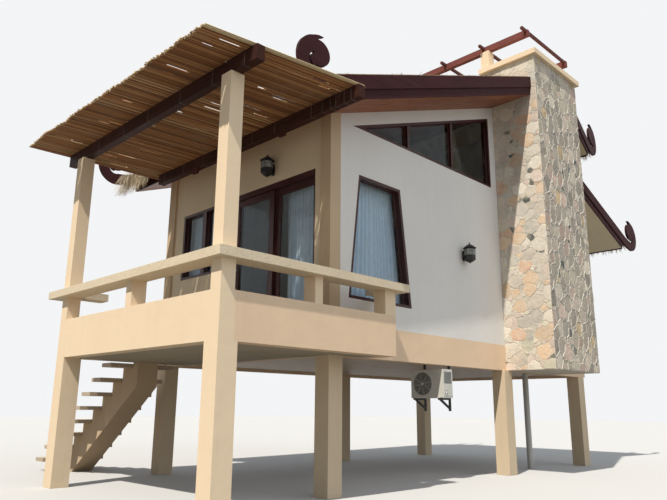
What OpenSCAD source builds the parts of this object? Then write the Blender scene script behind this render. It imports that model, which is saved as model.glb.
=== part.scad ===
// Stilt house with a covered corner terrace, a stone pylon and a two-tier thatched roof.
// Millimetres, +Z up. The front, with the terrace, faces -Y, and +X is the side with the pylon.
// The plan is drawn from the front right corner of the terrace, heights from the underside of
// the floor beams, and place() then moves everything to the middle of the footprint.

/* [Terrace] */
// Width of the terrace along the front
terrace_w = 3950; // [3000:10:5000]
// Depth of the terrace on its right side
terrace_d = 2850; // [2600:10:3400]
// Height of the floor beams' underside above the lowest ground
stilt_h = 1750; // [1200:10:2600]
// Side of the square stilts
stilt_w = 250; // [180:5:350]
// Side of the square posts above the rail
post_w = 185; // [120:5:240]
// Height of the solid parapet, with the floor beam in it
parapet_h = 540; // [400:10:700]
// Thickness of the parapet
parapet_t = 200; // [150:5:250]
// Underside of the rail above the underside of the floor beams
rail_z = 870; // [720:10:1100]
// Thickness of the rail
rail_h = 105; // [60:5:150]
// Breadth of the rail
rail_b = 290; // [220:5:400]
// Overhang of the rail past the parapet's outer face
rail_out = 100; // [20:5:140]
// Underside of the outer pergola beam above the floor beams' underside
cover_z = 3040; // [2600:10:3400]

/* [House] */
// Width of the house between the outer faces of its side walls
house_w = 4110; // [3600:10:5000]
// Length of the house between the outer faces of its end walls
house_l = 7610; // [7000:10:8500]
// Distance from the parapet's right face back to the right wall
side_recess = 500; // [300:10:700]
// Distance from the parapet's front face back to the front wall
front_recess = 2090; // [1900:10:2300]
// Height of the painted band of floor beams under the walls
base_h = 445; // [300:5:500]
// Thickness of the walls
wall_t = 150; // [100:5:250]
// Side of the square columns at the corners
column_w = 200; // [160:5:260]
// How far a corner column stands proud of the walls
column_proud = 40; // [20:5:60]

/* [Roof] */
// Rise of the front slope for each unit of run
front_rise = 0.375; // [0.30:0.005:0.42]
// Rise of the short rear slope for each unit of run
rear_rise = 0.42; // [0.36:0.01:0.48]
// Rise of the lower rear roof for each unit of run
lower_rise = 0.40; // [0.35:0.01:0.45]
// Overhang of the rakes past the side walls
rake_out = 650; // [450:10:800]
// How much further out the upper rakes stand at the ridge than at their eaves
ridge_out = 240; // [100:10:270]
// Height of the rake boards, measured upright
rake_h = 350; // [300:10:420]
// Thickness of the thatch, measured upright
thatch_h = 230; // [160:10:300]

/* [Sliding door] */
// How far the sliding leaf is opened
door_open = 0; // [0:10:880]

/* [Hidden] */

// Colours of the painted and natural surfaces
cream = [0.96, 0.86, 0.72];
peach = [0.85, 0.72, 0.60];
white = [0.93, 0.91, 0.87];
tan = [0.72, 0.59, 0.45];
maroon = [0.25, 0.14, 0.15];
mahogany = [0.24, 0.10, 0.10];
red_brown = [0.46, 0.24, 0.22];
straw = [0.82, 0.70, 0.52];
reed = [0.50, 0.35, 0.20];
stone = [0.68, 0.62, 0.55];
pane = [0.30, 0.38, 0.42];
cloth = [0.90, 0.92, 0.95];
dark_metal = [0.10, 0.10, 0.10];
grey = [0.78, 0.78, 0.76];

// Faces of the house
wall_x1 = -side_recess;
wall_x0 = wall_x1 - house_w;
wall_y0 = front_recess;
wall_y1 = wall_y0 + house_l;
slab_z = 50;
terrace_top = 200;
floor_top = 250;
edge_gap = 1;

// Stubs between parapet and rail: one half way along the front, one half way along the right
// side and a last one at the rear end of the right side
front_stub = [-2037, -1893];
side_stub = [1357, 1483];
end_stub_y = 2640;

// Rear end of the right rail, past the return parapet, and the rails over the two returns
rail_end_y = terrace_d + 185;
rear_return_b = 235;
left_return_out = 40;

// Faces of the roof at the front wall line
soffit_z = 3395;
eave_y = 1640;
ridge_y = 7660;
rear_y = 9420;
upper_wall_y = 8300;
lower_top_y = upper_wall_y;
lower_y = 10870;
lower_soffit_z = 3655;
lower_ref_y = 8990;
rake_x1 = wall_x1 + rake_out;
rake_x0 = wall_x0 - rake_out;
rake_t = 45;
lower_board_h = 140;
deck_h = 150;
thatch_over = 60;
thatch_top = deck_h + thatch_h;
deck_x1 = rake_x1 - rake_t;
deck_x0 = rake_x0 + rake_t;

// Plan of the stone pylon
pylon_x1 = 430;
pylon_in_x = -650;
pylon_y0 = 6520;
pylon_y1 = 8250;
pylon_top = 5840;
pylon_t = 180;
pylon_floor = 150;
cap_h = 100;
cap_out = 70;

// Scrolls at the ends of the rake boards: an outer circle and the height of its middle above
// the board's lower edge, both square to the slope, and how far it lies past each eave
scroll_r = 340;
scroll_up = 380;
front_ahead = 300;
rear_ahead = 130;
lower_ahead = 330;

// Pergola over the terrace
beam_w = 110;
outer_beam_x = [-4365, 410];
outer_beam_h = 180;
inner_beam_x = [-4100, 595];
inner_beam_y = 1480;
inner_beam_z = 3055;
inner_beam_h = 165;
block_xs = [-2985, -858];
block_w = 120;
block_d = 40;
block_h = 85;
packer_xs = [-3600, -2200, -500];
packer_h = 90;
reed_t = 45;
reed_front_y = -610;
reed_rear_y = 1620;
reed_z = cover_z + outer_beam_h;

// Roof trellis
trellis_z = 6350;
trellis_h = 130;
trellis_w = 90;
trellis_ys = [6650, 8260];
trellis_post_ys = [6650, 8220];
trellis_step = 930;
trellis_right_x = 265;
trellis_bays = 6;
trellis_out = 35;
cross_w = 50;
cross_out = 210;
cross_end = 30;
cross_notch = 55;

// Door and window openings, in the front and right walls
door_x0 = -2670;
door_x1 = -806;
door_top = 2650;
front_window = [-4189, -2910, 1460, 2622];
front_mullion = -3550;
mullion_w = 100;
clerestory_bar = 50;
frame_w = 45;
frame_t = 130;
frame_in = 5;
bar_t = 75;
glass_t = 8;
side_glass_in = 115;
top_glass_in = 70;

// Stair down to the left of the terrace, on one central stringer
stair_y = 1380;
tread_l = 1080;
tread_n = 8;
tread_t = 60;
tread_d = 300;
stair_run = 310;
stringer_b = 350;
stair_rise = (terrace_top + stilt_h) / (tread_n + 1);

// Middle of the footprint, which is the part's own origin
mid_x = (inner_beam_x[1] - terrace_w - tread_n * stair_run) / 2;
scroll_reach = lower_ahead * cos(atan(lower_rise)) + scroll_up * sin(atan(lower_rise)) + scroll_r;
mid_y = (reed_front_y + lower_y + scroll_reach) / 2;

module place() {
    translate([-mid_x, -mid_y, stilt_h]) children();
}

// A block between two opposite corners
module block(a, b) {
    translate(a) cube(b - a);
}

// Height of the soffit under each roof slope
function front_soffit(y) = soffit_z + front_rise * (y - wall_y0);
function rear_soffit(y) = front_soffit(ridge_y) - rear_rise * (y - ridge_y);
function lower_soffit(y) = lower_soffit_z - lower_rise * (y - lower_ref_y);

// A flat shape in Y and Z, made solid between two X faces
module side_solid(x0, x1) {
    translate([x1, 0, 0]) rotate([90, 0, -90]) mirror([1, 0, 0])
        linear_extrude(x1 - x0) children();
}

module side_prism(x0, x1, points) {
    side_solid(x0, x1) polygon(points);
}

// A flat shape in X and Z, made solid from a Y face backwards
module front_solid(y, thickness) {
    translate([0, y + thickness, 0]) rotate([90, 0, 0]) linear_extrude(thickness) children();
}

module terrace_stilts() {
    color(cream) place() {
        block([-stilt_w, 0, -stilt_h], [0, stilt_w, 0]);
        block([-terrace_w, 0, -stilt_h], [stilt_w - terrace_w, stilt_w, 0]);
    }
}

// Rows of stilts under the house, front to back
house_stilt_ys = [wall_y0 - column_proud, 6380, 9290];

module house_stilts() {
    color(tan) place()
        for (y = house_stilt_ys, x = [wall_x1 + column_proud - stilt_w, wall_x0 - column_proud])
            block([x, y, -stilt_h], [x + stilt_w, y + stilt_w, 0]);
}

// Pipe down from the floor, in X and Y
drain_at = [-900, 7900];
drain_d = 110;

module drain_pipe() {
    color(grey) place() translate([drain_at[0], drain_at[1], -stilt_h])
        cylinder(h = stilt_h + slab_z, d = drain_d);
}

// The left edge is open from here to the wall, for the stair
landing_y = 600;

module terrace_slab() {
    color(tan) place() {
        block([parapet_t - terrace_w, parapet_t, 0], [-parapet_t, wall_y0, terrace_top]);
        block([-terrace_w, landing_y, 0], [-parapet_t, wall_y0, terrace_top]);
        block([wall_x1, parapet_t, 0], [-parapet_t, terrace_d - parapet_t, terrace_top]);
    }
}

module front_parapet() {
    color(cream) place() block([-terrace_w, 0, 0], [0, parapet_t, parapet_h]);
}

module right_parapet() {
    color(peach) place() block([-parapet_t, parapet_t, 0], [0, terrace_d, parapet_h]);
}

module parapet_returns() {
    color(peach) place() {
        block([-terrace_w, parapet_t, 0], [parapet_t - terrace_w, landing_y, parapet_h]);
        block([wall_x1, terrace_d - parapet_t, 0], [-parapet_t, terrace_d, parapet_h]);
    }
}

module rail_stubs() {
    color(cream) place() {
        block([-post_w, 0, parapet_h], [0, post_w, rail_z]);
        block([-terrace_w, 0, parapet_h], [post_w - terrace_w, post_w, rail_z]);
        block([front_stub[0], 0, parapet_h], [front_stub[1], parapet_t, rail_z]);
        block([-parapet_t, side_stub[0], parapet_h], [0, side_stub[1], rail_z]);
        block([-parapet_t, end_stub_y, parapet_h], [0, terrace_d, rail_z]);
    }
}

// Inner edge of the rail and its top face
rail_in = rail_b - rail_out;
rail_top = rail_z + rail_h;

module front_rail() {
    color(cream) place()
        block([-terrace_w - rail_b, -rail_out, rail_z], [rail_out, rail_in, rail_top]);
}

module right_rail() {
    color(cream) place()
        block([-rail_in, rail_in, rail_z], [rail_out, rail_end_y, rail_top]);
}

module rail_returns() {
    color(cream) place() {
        block([-terrace_w - left_return_out, rail_in, rail_z],
            [parapet_t - terrace_w, landing_y, rail_top]);
        block([wall_x1, rail_end_y - rear_return_b, rail_z], [-rail_in, rail_end_y, rail_top]);
    }
}

module upper_posts() {
    color(cream) place() {
        block([-post_w, 0, rail_top], [0, post_w, cover_z]);
        block([-terrace_w, 0, rail_top], [post_w - terrace_w, post_w, cover_z]);
    }
}

module stair_stringer() {
    top_x = -terrace_w;
    end_x = top_x - tread_n * stair_run;
    depth = 450;
    neck = 150;
    slope = stair_rise / stair_run;
    seats = [for (i = [1:tread_n]) for (edge = [1, 0])
        [top_x - (i - edge) * stair_run, terrace_top - i * stair_rise - tread_t]];
    color(tan) place() translate([0, stair_y + stringer_b / 2, 0]) rotate([90, 0, 0])
        linear_extrude(stringer_b) polygon(concat(
            [[end_x + depth / slope, -stilt_h],
                [top_x + neck, terrace_top - depth - stair_rise + neck * slope],
                [top_x + neck, 0], [top_x, 0]],
            seats, [[end_x, -stilt_h]]
        ));
}

module stair_treads() {
    color(tan) place() for (i = [1:tread_n]) {
        z = terrace_top - i * stair_rise;
        x = -terrace_w - i * stair_run;
        block([x, stair_y - tread_l / 2, z - tread_t], [x + tread_d, stair_y + tread_l / 2, z]);
    }
}

module house_floor() {
    color(tan) place()
        block([wall_x0 + wall_t, wall_y0 + wall_t, slab_z],
            [wall_x1 - wall_t, wall_y1 - wall_t, floor_top]);
}

module side_base_beams() {
    color(peach) place() for (x = [wall_x0, wall_x1 - wall_t])
        block([x, wall_y0, 0], [x + wall_t, wall_y1, base_h]);
}

module end_base_beams() {
    color(peach) place() {
        block([wall_x0 + wall_t, wall_y0, 0], [wall_x1 - wall_t, wall_y0 + wall_t, floor_top]);
        block([wall_x0 + wall_t, wall_y1 - wall_t, 0], [wall_x1 - wall_t, wall_y1, base_h]);
    }
}

module front_wall_sides() {
    color(white) place() difference() {
        union() {
            block([wall_x0 + wall_t, wall_y0, floor_top], [door_x0, wall_y0 + wall_t, door_top]);
            block([door_x1, wall_y0, floor_top], [wall_x1 - wall_t, wall_y0 + wall_t, door_top]);
        }
        block([front_window[0], wall_y0 - 1, front_window[2]],
            [front_window[1], wall_y0 + wall_t + 1, front_window[3]]);
    }
}

module front_wall_head() {
    inner_y = wall_y0 + wall_t;
    color(white) place() side_prism(wall_x0 + wall_t, wall_x1 - wall_t, [
        [wall_y0, door_top], [inner_y, door_top],
        [inner_y, front_soffit(inner_y) - edge_gap], [wall_y0, front_soffit(wall_y0) - edge_gap]
    ]);
}

// Outline of the side walls in Y and Z
side_wall_outline = [
    [wall_y0, base_h], [wall_y1, base_h], [wall_y1, lower_soffit(wall_y1) - edge_gap],
    [upper_wall_y, lower_soffit(upper_wall_y) - edge_gap],
    [upper_wall_y, rear_soffit(upper_wall_y) - edge_gap],
    [ridge_y, front_soffit(ridge_y) - edge_gap], [wall_y0, front_soffit(wall_y0) - edge_gap]
];

// Corners of the trapezoid side window and of the clerestory, in Y and Z
side_window = [[2457, 798], [3849, 798], [3614, 2635], [2673, 2635]];
clerestory = [[2542, 3360], [6330, 3360], [6330, 4765]];

module right_wall() {
    color(white) place() difference() {
        side_prism(wall_x1 - wall_t, wall_x1, side_wall_outline);
        side_prism(wall_x1 - wall_t - 1, wall_x1 + 1, side_window);
        side_prism(wall_x1 - wall_t - 1, wall_x1 + 1, clerestory);
    }
}

module left_wall() {
    color(white) place() side_prism(wall_x0, wall_x0 + wall_t, side_wall_outline);
}

module back_wall() {
    inner_y = wall_y1 - wall_t;
    color(white) place() side_prism(wall_x0 + wall_t, wall_x1 - wall_t, [
        [inner_y, base_h], [wall_y1, base_h],
        [wall_y1, lower_soffit(wall_y1) - edge_gap], [inner_y, lower_soffit(inner_y) - edge_gap]
    ]);
}

module upper_back_wall() {
    inner_y = upper_wall_y - wall_t;
    color(white) place() side_prism(wall_x0 + wall_t, wall_x1 - wall_t, [
        [inner_y, lower_soffit(upper_wall_y)], [upper_wall_y, lower_soffit(upper_wall_y)],
        [upper_wall_y, rear_soffit(upper_wall_y) - edge_gap],
        [inner_y, rear_soffit(inner_y) - edge_gap]
    ]);
}

module corner_columns() {
    y = wall_y0 - column_proud;
    y2 = y + column_w;
    color(tan) place() difference() {
        for (side = [[wall_x1 + column_proud - column_w, terrace_top], [wall_x0 - column_proud, 0]])
            side_prism(side[0], side[0] + column_w, [
                [y, side[1]], [y2, side[1]],
                [y2, front_soffit(y2) - edge_gap], [y, front_soffit(y) - edge_gap]
            ]);
        block([wall_x0, wall_y0, -1], [wall_x1, wall_y1, pylon_top]);
    }
}

module stone_pylon() {
    color(stone) place() difference() {
        union() {
            block([wall_x1, pylon_y0, 0], [pylon_x1, pylon_y1, pylon_top]);
            side_prism(pylon_in_x, wall_x1, [
                [pylon_y0, front_soffit(pylon_y0)], [ridge_y, front_soffit(ridge_y)],
                [pylon_y1, rear_soffit(pylon_y1)], [pylon_y1, pylon_top], [pylon_y0, pylon_top]
            ]);
        }
        block([wall_x1 + pylon_t, pylon_y0 + pylon_t, pylon_floor],
            [pylon_x1 - pylon_t, pylon_y1 - pylon_t, pylon_top + 1]);
    }
}

module pylon_cap() {
    color(cream) place()
        block([pylon_in_x - cap_out, pylon_y0 - cap_out, pylon_top],
            [pylon_x1 + cap_out, pylon_y1 + cap_out, pylon_top + cap_h]);
}

// A sloping layer from one Y to another, between two heights above its soffit line
module slope_layer(x0, x1, y0, z0, y1, z1, low, high) {
    side_prism(x0, x1, [[y0, z0 + low], [y1, z1 + low], [y1, z1 + high], [y0, z0 + high]]);
}

// Clear of the rakes' inner faces, how far an upper slope's edge lies outside the deck's at y
function flare(y, eave) = ridge_out * (y - eave) / (ridge_y - eave) - edge_gap;

// A layer of an upper slope, between its two rakes
module upper_layer(eave, y0, z0, z1, low, high) {
    far = y0 < ridge_y ? y0 - 1 : y0 + 1;
    intersection() {
        slope_layer(deck_x0 - ridge_out, deck_x1 + ridge_out, min(y0, ridge_y),
            y0 < ridge_y ? z0 : z1, max(y0, ridge_y), y0 < ridge_y ? z1 : z0, low, high);
        translate([0, 0, cover_z]) linear_extrude(pylon_top) polygon([
            [deck_x0 - flare(far, eave), far], [deck_x1 + flare(far, eave), far],
            [deck_x1 + flare(ridge_y, eave), ridge_y], [deck_x0 - flare(ridge_y, eave), ridge_y]
        ]);
    }
}

// The notch that the pylon takes out of the roof's overhang
module pylon_notch() {
    gap = 5;
    out = cap_out + gap;
    block([pylon_in_x - gap, pylon_y0 - gap, soffit_z], [pylon_x1, pylon_y1 + gap, pylon_top]);
    block([pylon_in_x - out, pylon_y0 - out, pylon_top - gap],
        [pylon_x1, pylon_y1 + out, pylon_top + cap_h]);
}

module front_roof_deck() {
    y = eave_y + rake_t;
    color(mahogany) place() difference() {
        upper_layer(eave_y, y, front_soffit(y), front_soffit(ridge_y), 0, deck_h);
        pylon_notch();
    }
}

module rear_roof_deck() {
    y = rear_y - rake_t;
    color(mahogany) place() difference() {
        upper_layer(rear_y, y, rear_soffit(y), front_soffit(ridge_y), 0, deck_h);
        pylon_notch();
    }
}

module lower_roof_deck() {
    color(tan) place()
        slope_layer(deck_x0, deck_x1, lower_top_y, lower_soffit(lower_top_y),
            lower_y - rake_t, lower_soffit(lower_y - rake_t), 0, deck_h);
}

module front_thatch() {
    y = eave_y - thatch_over;
    color(straw) place() difference() {
        upper_layer(eave_y, y, front_soffit(y), front_soffit(ridge_y), deck_h, thatch_top);
        pylon_notch();
    }
}

module rear_thatch() {
    y = rear_y + thatch_over;
    color(straw) place() difference() {
        upper_layer(rear_y, y, rear_soffit(y), front_soffit(ridge_y), deck_h, thatch_top);
        pylon_notch();
    }
}

module lower_thatch() {
    color(straw) place()
        slope_layer(deck_x0, deck_x1, lower_top_y + 10, lower_soffit(lower_top_y + 10),
            lower_y + thatch_over, lower_soffit(lower_y + thatch_over), deck_h, thatch_top);
}

// An upper rake board with its scrolled end: its origin is on the board's lower edge at the eave
// and X runs outwards along the slope. The neck sweeps up from the board in two arcs round one
// middle and runs into the outer circle at a slight angle, a leaf lies inside the circle, and a
// crescent slot parts the leaf from it. Whole millimetres keep the pieces' corners together.
module scroll_board(length, board, ahead) {
    touching = (ahead * ahead + scroll_up * scroll_up - scroll_r * scroll_r)
        / (2 * (scroll_up - scroll_r));
    sweep = round(0.95 * touching);
    meet = round(sweep * sin(atan(ahead / (sweep - scroll_up))));
    difference() {
        union() {
            translate([-length, 0]) square([length, board]);
            intersection() {
                difference() {
                    translate([0, sweep]) circle(r = sweep);
                    translate([0, sweep]) circle(r = sweep - board);
                }
                translate([0, -10]) square([meet, scroll_up + 10]);
            }
            translate([ahead, scroll_up]) scroll_body();
        }
        translate([ahead, scroll_up]) scroll_slot();
    }
}

// Middle and radius of the leaf, of the slot's outer edge and of the curl inside it
leaf_disc = [-53, 99, 182];
slot_disc = [25, -10, 131];
curl_disc = [40, 10, 88];

module disc(d) {
    translate([d[0], d[1]]) circle(r = d[2]);
}

module scroll_body() {
    crown_x = -75;
    outer_x = 60;
    intersection() {
        circle(r = scroll_r);
        union() {
            translate([outer_x, -scroll_r - 10]) square(2 * scroll_r + 20);
            translate([crown_x, scroll_r / 2]) square([outer_x - crown_x, scroll_r]);
        }
    }
    disc(leaf_disc);
    polygon([[20, 290], [-50, 343], [-130, 336], [-212, 308], [-145, 300], [-80, 268]]);
}

module scroll_slot() {
    leaf_x = 35;
    difference() {
        disc(slot_disc);
        disc(curl_disc);
        intersection() {
            disc(leaf_disc);
            translate([leaf_x - 2 * scroll_r, -scroll_r]) square(2 * scroll_r);
        }
    }
}

// Both rake boards of a slope on both sides, from its eave up to top_y: a deep upper board that
// ends in the scroll, over a narrower one set back. side is 1 where the eave is at the rear and
// -1 where it is at the front, and at top_y the boards stand further out than at the eave.
module rake_pair(eave, top_y, rise, side, ahead, out) {
    swing = atan(out / abs(top_y - eave[0]));
    angle = atan(rise);
    board = round((rake_h - lower_board_h) * cos(angle));
    lower = round(lower_board_h * cos(angle));
    length = abs(top_y - eave[0]) / cos(angle) + rake_h;
    lap = 5;
    intersection() {
        for (face = [[rake_x0, 1], [rake_x1, -1]]) {
            x = face[0];
            inner = x + face[1] * rake_t;
            step = x + face[1] * rake_t / 2;
            turned([x, eave[0]], -side * face[1] * swing) {
                side_solid(min(x, inner), max(x, inner)) on_slope(eave, angle, side)
                    scroll_board(round(length), board, ahead);
                side_solid(min(step, inner), max(step, inner)) on_slope(eave, angle, side)
                    translate([-round(length), -lower]) square([round(length), lower + lap]);
            }
        }
        translate([rake_x0 - out - rake_t, min(top_y, top_y + side * 2 * length), 0])
            cube([rake_x1 - rake_x0 + 2 * (out + rake_t), 2 * length, 3 * soffit_z]);
    }
}

// Turns a piece in plan about a point in X and Y
module turned(at, angle) {
    translate([at[0], at[1], 0]) rotate([0, 0, angle]) translate([-at[0], -at[1], 0]) children();
}

// Sets a flat shape on the upper rake board's lower edge at an eave, with X down the slope
module on_slope(eave, angle, side) {
    translate([eave[0], eave[1] + lower_board_h]) scale([side, 1]) rotate(-angle) children();
}

module front_rakes() {
    color(maroon) place() difference() {
        rake_pair([eave_y, front_soffit(eave_y)], ridge_y, front_rise, -1, front_ahead, ridge_out);
        pylon_notch();
    }
}

module rear_rakes() {
    color(maroon) place() difference() {
        rake_pair([rear_y, rear_soffit(rear_y)], ridge_y, rear_rise, 1, rear_ahead, ridge_out);
        pylon_notch();
    }
}

module lower_rakes() {
    color(maroon) place()
        rake_pair([lower_y, lower_soffit(lower_y)], lower_top_y, lower_rise, 1, lower_ahead, 0);
}

module eave_fascias() {
    x0 = deck_x0 + edge_gap;
    x1 = deck_x1 - edge_gap;
    color(maroon) place() {
        slope_layer(x0, x1, eave_y, front_soffit(eave_y),
            eave_y + rake_t, front_soffit(eave_y + rake_t), 0, deck_h);
        slope_layer(x0, x1, rear_y - rake_t, rear_soffit(rear_y - rake_t),
            rear_y, rear_soffit(rear_y), 0, deck_h);
        slope_layer(x0, x1, lower_y - rake_t, lower_soffit(lower_y - rake_t),
            lower_y, lower_soffit(lower_y), 0, deck_h);
    }
}

module outer_beam() {
    color(mahogany) place()
        block([outer_beam_x[0], (post_w - beam_w) / 2, cover_z],
            [outer_beam_x[1], (post_w + beam_w) / 2, reed_z]);
}

module inner_beam() {
    color(mahogany) place()
        block([inner_beam_x[0], inner_beam_y, inner_beam_z],
            [inner_beam_x[1], inner_beam_y + beam_w, inner_beam_z + inner_beam_h]);
}

// Short blocks under the inner beam, and packers behind it that hang it from the eave
module beam_blocks() {
    back_y = inner_beam_y + beam_w;
    packer_y = eave_y + beam_w / 2;
    beam_top = inner_beam_z + inner_beam_h;
    color(mahogany) place() {
        for (x = block_xs)
            block([x - block_w / 2, inner_beam_y, inner_beam_z - block_h],
                [x + block_w / 2, inner_beam_y + block_d, inner_beam_z]);
        for (x = packer_xs)
            side_prism(x - block_w / 2, x + block_w / 2, [
                [back_y, beam_top - packer_h], [packer_y, beam_top - packer_h],
                [packer_y, front_soffit(packer_y) - edge_gap],
                [eave_y - edge_gap, front_soffit(eave_y) - edge_gap],
                [eave_y - edge_gap, beam_top], [back_y, beam_top]
            ]);
    }
}

// Corners of the reed cover in X and Y
reed_corners = [[-4460, reed_front_y], [275, reed_front_y + 20], [590, reed_rear_y],
    [-4330, reed_rear_y]];

module reed_cover() {
    color(reed) place() translate([0, 0, reed_z]) linear_extrude(reed_t) polygon(reed_corners);
}

// Posts of the roof trellis: the right ones stand on the pylon's cap, the left ones on the thatch
post_edge = 5;
right_post_x = pylon_in_x - cap_out + post_w / 2 + post_edge;
left_post_x = right_post_x - 4 * trellis_step;

module roof_posts() {
    cap_z = pylon_top + cap_h;
    color(cream) place() {
        for (y = trellis_post_ys)
            block([right_post_x - post_w / 2, y - post_w / 2, cap_z],
                [right_post_x + post_w / 2, y + post_w / 2, trellis_z]);
        difference() {
            for (y = trellis_post_ys)
                block([left_post_x - post_w / 2, y - post_w / 2, soffit_z],
                    [left_post_x + post_w / 2, y + post_w / 2, trellis_z]);
            side_prism(deck_x0, deck_x1, [
                [eave_y, 0], [eave_y, front_soffit(eave_y) + thatch_top + edge_gap],
                [ridge_y, front_soffit(ridge_y) + thatch_top + edge_gap],
                [rear_y, rear_soffit(rear_y) + thatch_top + edge_gap], [rear_y, 0]
            ]);
        }
    }
}

// The trellis's cross pieces lie in notches in the two beams; play widens them for the notches
module cross_pieces(play) {
    half = cross_w / 2 + play;
    height = play > 0 ? 2 * cross_w : cross_w;
    z = trellis_z + trellis_h - cross_notch;
    for (i = [0:trellis_bays])
        translate([trellis_right_x - i * trellis_step, 0, z])
            block([-half, trellis_ys[0] - cross_out, 0],
                [half, trellis_ys[1] + cross_end, height]);
}

module roof_beams() {
    trellis_left_x = trellis_right_x - trellis_bays * trellis_step - trellis_out;
    color(red_brown) place() difference() {
        for (y = trellis_ys)
            block([trellis_left_x, y - trellis_w / 2, trellis_z],
                [trellis_right_x + trellis_out, y + trellis_w / 2, trellis_z + trellis_h]);
        cross_pieces(edge_gap);
    }
}

module roof_cross_pieces() {
    color(red_brown) place() cross_pieces(0);
}

// The outline of a frame's opening in the plane of the right wall
module side_opening(points) {
    offset(delta = -frame_w) polygon(points);
}

module side_frame(points) {
    side_solid(wall_x1 - frame_in - frame_t, wall_x1 - frame_in) difference() {
        polygon(points);
        side_opening(points);
    }
}

// Middles of the two bars in the clerestory
clerestory_posts = [3860, 5080];

module clerestory_bars() {
    for (y = clerestory_posts)
        translate([y - clerestory_bar / 2, clerestory[0][1]])
            square([clerestory_bar, clerestory[2][1] - clerestory[0][1]]);
}

// Both panes of the front window, in X and Z
module front_panes() {
    z0 = front_window[2] + frame_w;
    z1 = front_window[3] - frame_w;
    for (x = [[front_window[0] + frame_w, front_mullion - mullion_w / 2],
            [front_mullion + mullion_w / 2, front_window[1] - frame_w]])
        translate([x[0], z0]) square([x[1] - x[0], z1 - z0]);
}

module window_frames() {
    color(mahogany) place() {
        side_frame(side_window);
        side_frame(clerestory);
        side_solid(wall_x1 - frame_in - bar_t, wall_x1 - frame_in) intersection() {
            clerestory_bars();
            polygon(clerestory);
        }
        front_solid(wall_y0 + frame_in, frame_t) difference() {
            translate([front_window[0], front_window[2]])
                square([front_window[1] - front_window[0], front_window[3] - front_window[2]]);
            front_panes();
        }
    }
}

module window_glass() {
    side_x = wall_x1 - side_glass_in;
    top_x = wall_x1 - top_glass_in;
    color(pane) place() {
        side_solid(side_x, side_x + glass_t) side_opening(side_window);
        side_solid(top_x, top_x + glass_t) difference() {
            side_opening(clerestory);
            clerestory_bars();
        }
        front_solid(wall_y0 + top_glass_in, glass_t) front_panes();
    }
}

// Curtains hang from rods on short brackets, behind the walls
rod_d = 28;
rod_in = 80;
curtain_t = 40;
front_rod_z = 2720;
side_rod_z = 2740;
rod_out = 60;
curtain_out = 25;
curtain_hem_z = 280;

// A rod along X with a bracket at each end, from the wall's inner face at Y 0
module rod(length) {
    bracket = 30;
    translate([0, rod_in, 0]) rotate([0, 90, 0]) cylinder(h = length, d = rod_d);
    for (x = [0, length - bracket])
        translate([x, 0, -bracket / 2]) cube([bracket, rod_in + 10, bracket]);
}

module curtain_rods() {
    inner_y = wall_y0 + wall_t;
    color(dark_metal) place() {
        for (span = [[door_x0, door_x1], [front_window[0], front_window[1]]])
            translate([span[0] - rod_out, inner_y, front_rod_z]) rod(span[1] - span[0] + 2 * rod_out);
        translate([wall_x1 - wall_t, side_window[0][0] - rod_out, side_rod_z]) rotate([0, 0, 90])
            rod(side_window[1][0] - side_window[0][0] + 2 * rod_out);
    }
}

// Sliding door of two leaves in one frame
door_head_h = 90;
jamb_w = 25;
leaf_t = 40;
leaf_rail = 90;
outer_stile = 60;
inner_stile = 105;
sill_h = 14;
door_z0 = floor_top;
head_z = door_top - door_head_h;
leaf_gap = 6;
leaf_mid = (door_x0 + door_x1) / 2;
leaf_overlap = 5;
fixed_y = wall_y0 + 75;
slide_y = wall_y0 + 25;

module door_frame() {
    color(mahogany) place() {
        block([door_x0, wall_y0, head_z], [door_x1, wall_y0 + wall_t, door_top]);
        block([door_x0, wall_y0, door_z0], [door_x0 + jamb_w, wall_y0 + wall_t, door_top]);
        block([door_x1 - jamb_w, wall_y0, door_z0], [door_x1, wall_y0 + wall_t, door_top]);
        block([door_x0, wall_y0, door_z0], [door_x1, wall_y0 + wall_t, door_z0 + sill_h]);
    }
}

// Outline of a leaf's glass in X and Z, seen from the front. Its wide stile is at the meeting
// side, 1 for the right end and -1 for the left, and gap is the play over sill and head.
module glass_outline(x0, x1, meeting, gap) {
    left = meeting > 0 ? outer_stile : inner_stile;
    right = meeting > 0 ? inner_stile : outer_stile;
    z0 = door_z0 + sill_h + gap + leaf_rail;
    translate([x0 + left, z0]) square([x1 - x0 - left - right, head_z - gap - leaf_rail - z0]);
}

module leaf(x0, x1, meeting, y, gap) {
    z0 = door_z0 + sill_h + gap;
    front_solid(y, leaf_t) difference() {
        translate([x0, z0]) square([x1 - x0, head_z - gap - z0]);
        glass_outline(x0, x1, meeting, gap);
    }
}

module leaf_pane(x0, x1, meeting, y, gap) {
    front_solid(y + (leaf_t - glass_t) / 2, glass_t) glass_outline(x0, x1, meeting, gap);
}

// Ends of the two leaves in X, and which end meets the other leaf
fixed_span = [leaf_mid - leaf_overlap, door_x1 - jamb_w, -1];
slide_span = [door_x0 + jamb_w + leaf_gap, leaf_mid + leaf_overlap, 1];

module fixed_leaf() {
    color(mahogany) place() leaf(fixed_span[0], fixed_span[1], fixed_span[2], fixed_y, 0);
}

module fixed_leaf_glass() {
    color(pane) place() leaf_pane(fixed_span[0], fixed_span[1], fixed_span[2], fixed_y, 0);
}

module sliding_leaf() {
    color(mahogany) place() translate([door_open, 0, 0])
        leaf(slide_span[0], slide_span[1], slide_span[2], slide_y, leaf_gap);
}

module sliding_leaf_glass() {
    color(pane) place() translate([door_open, 0, 0])
        leaf_pane(slide_span[0], slide_span[1], slide_span[2], slide_y, leaf_gap);
}

// A curtain along X under its rod, from the wall's inner face at Y 0
module curtain(x0, x1, z0) {
    block([x0, rod_in - curtain_t / 2, z0], [x1, rod_in + curtain_t / 2, front_rod_z - rod_d / 2]);
}

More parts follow.
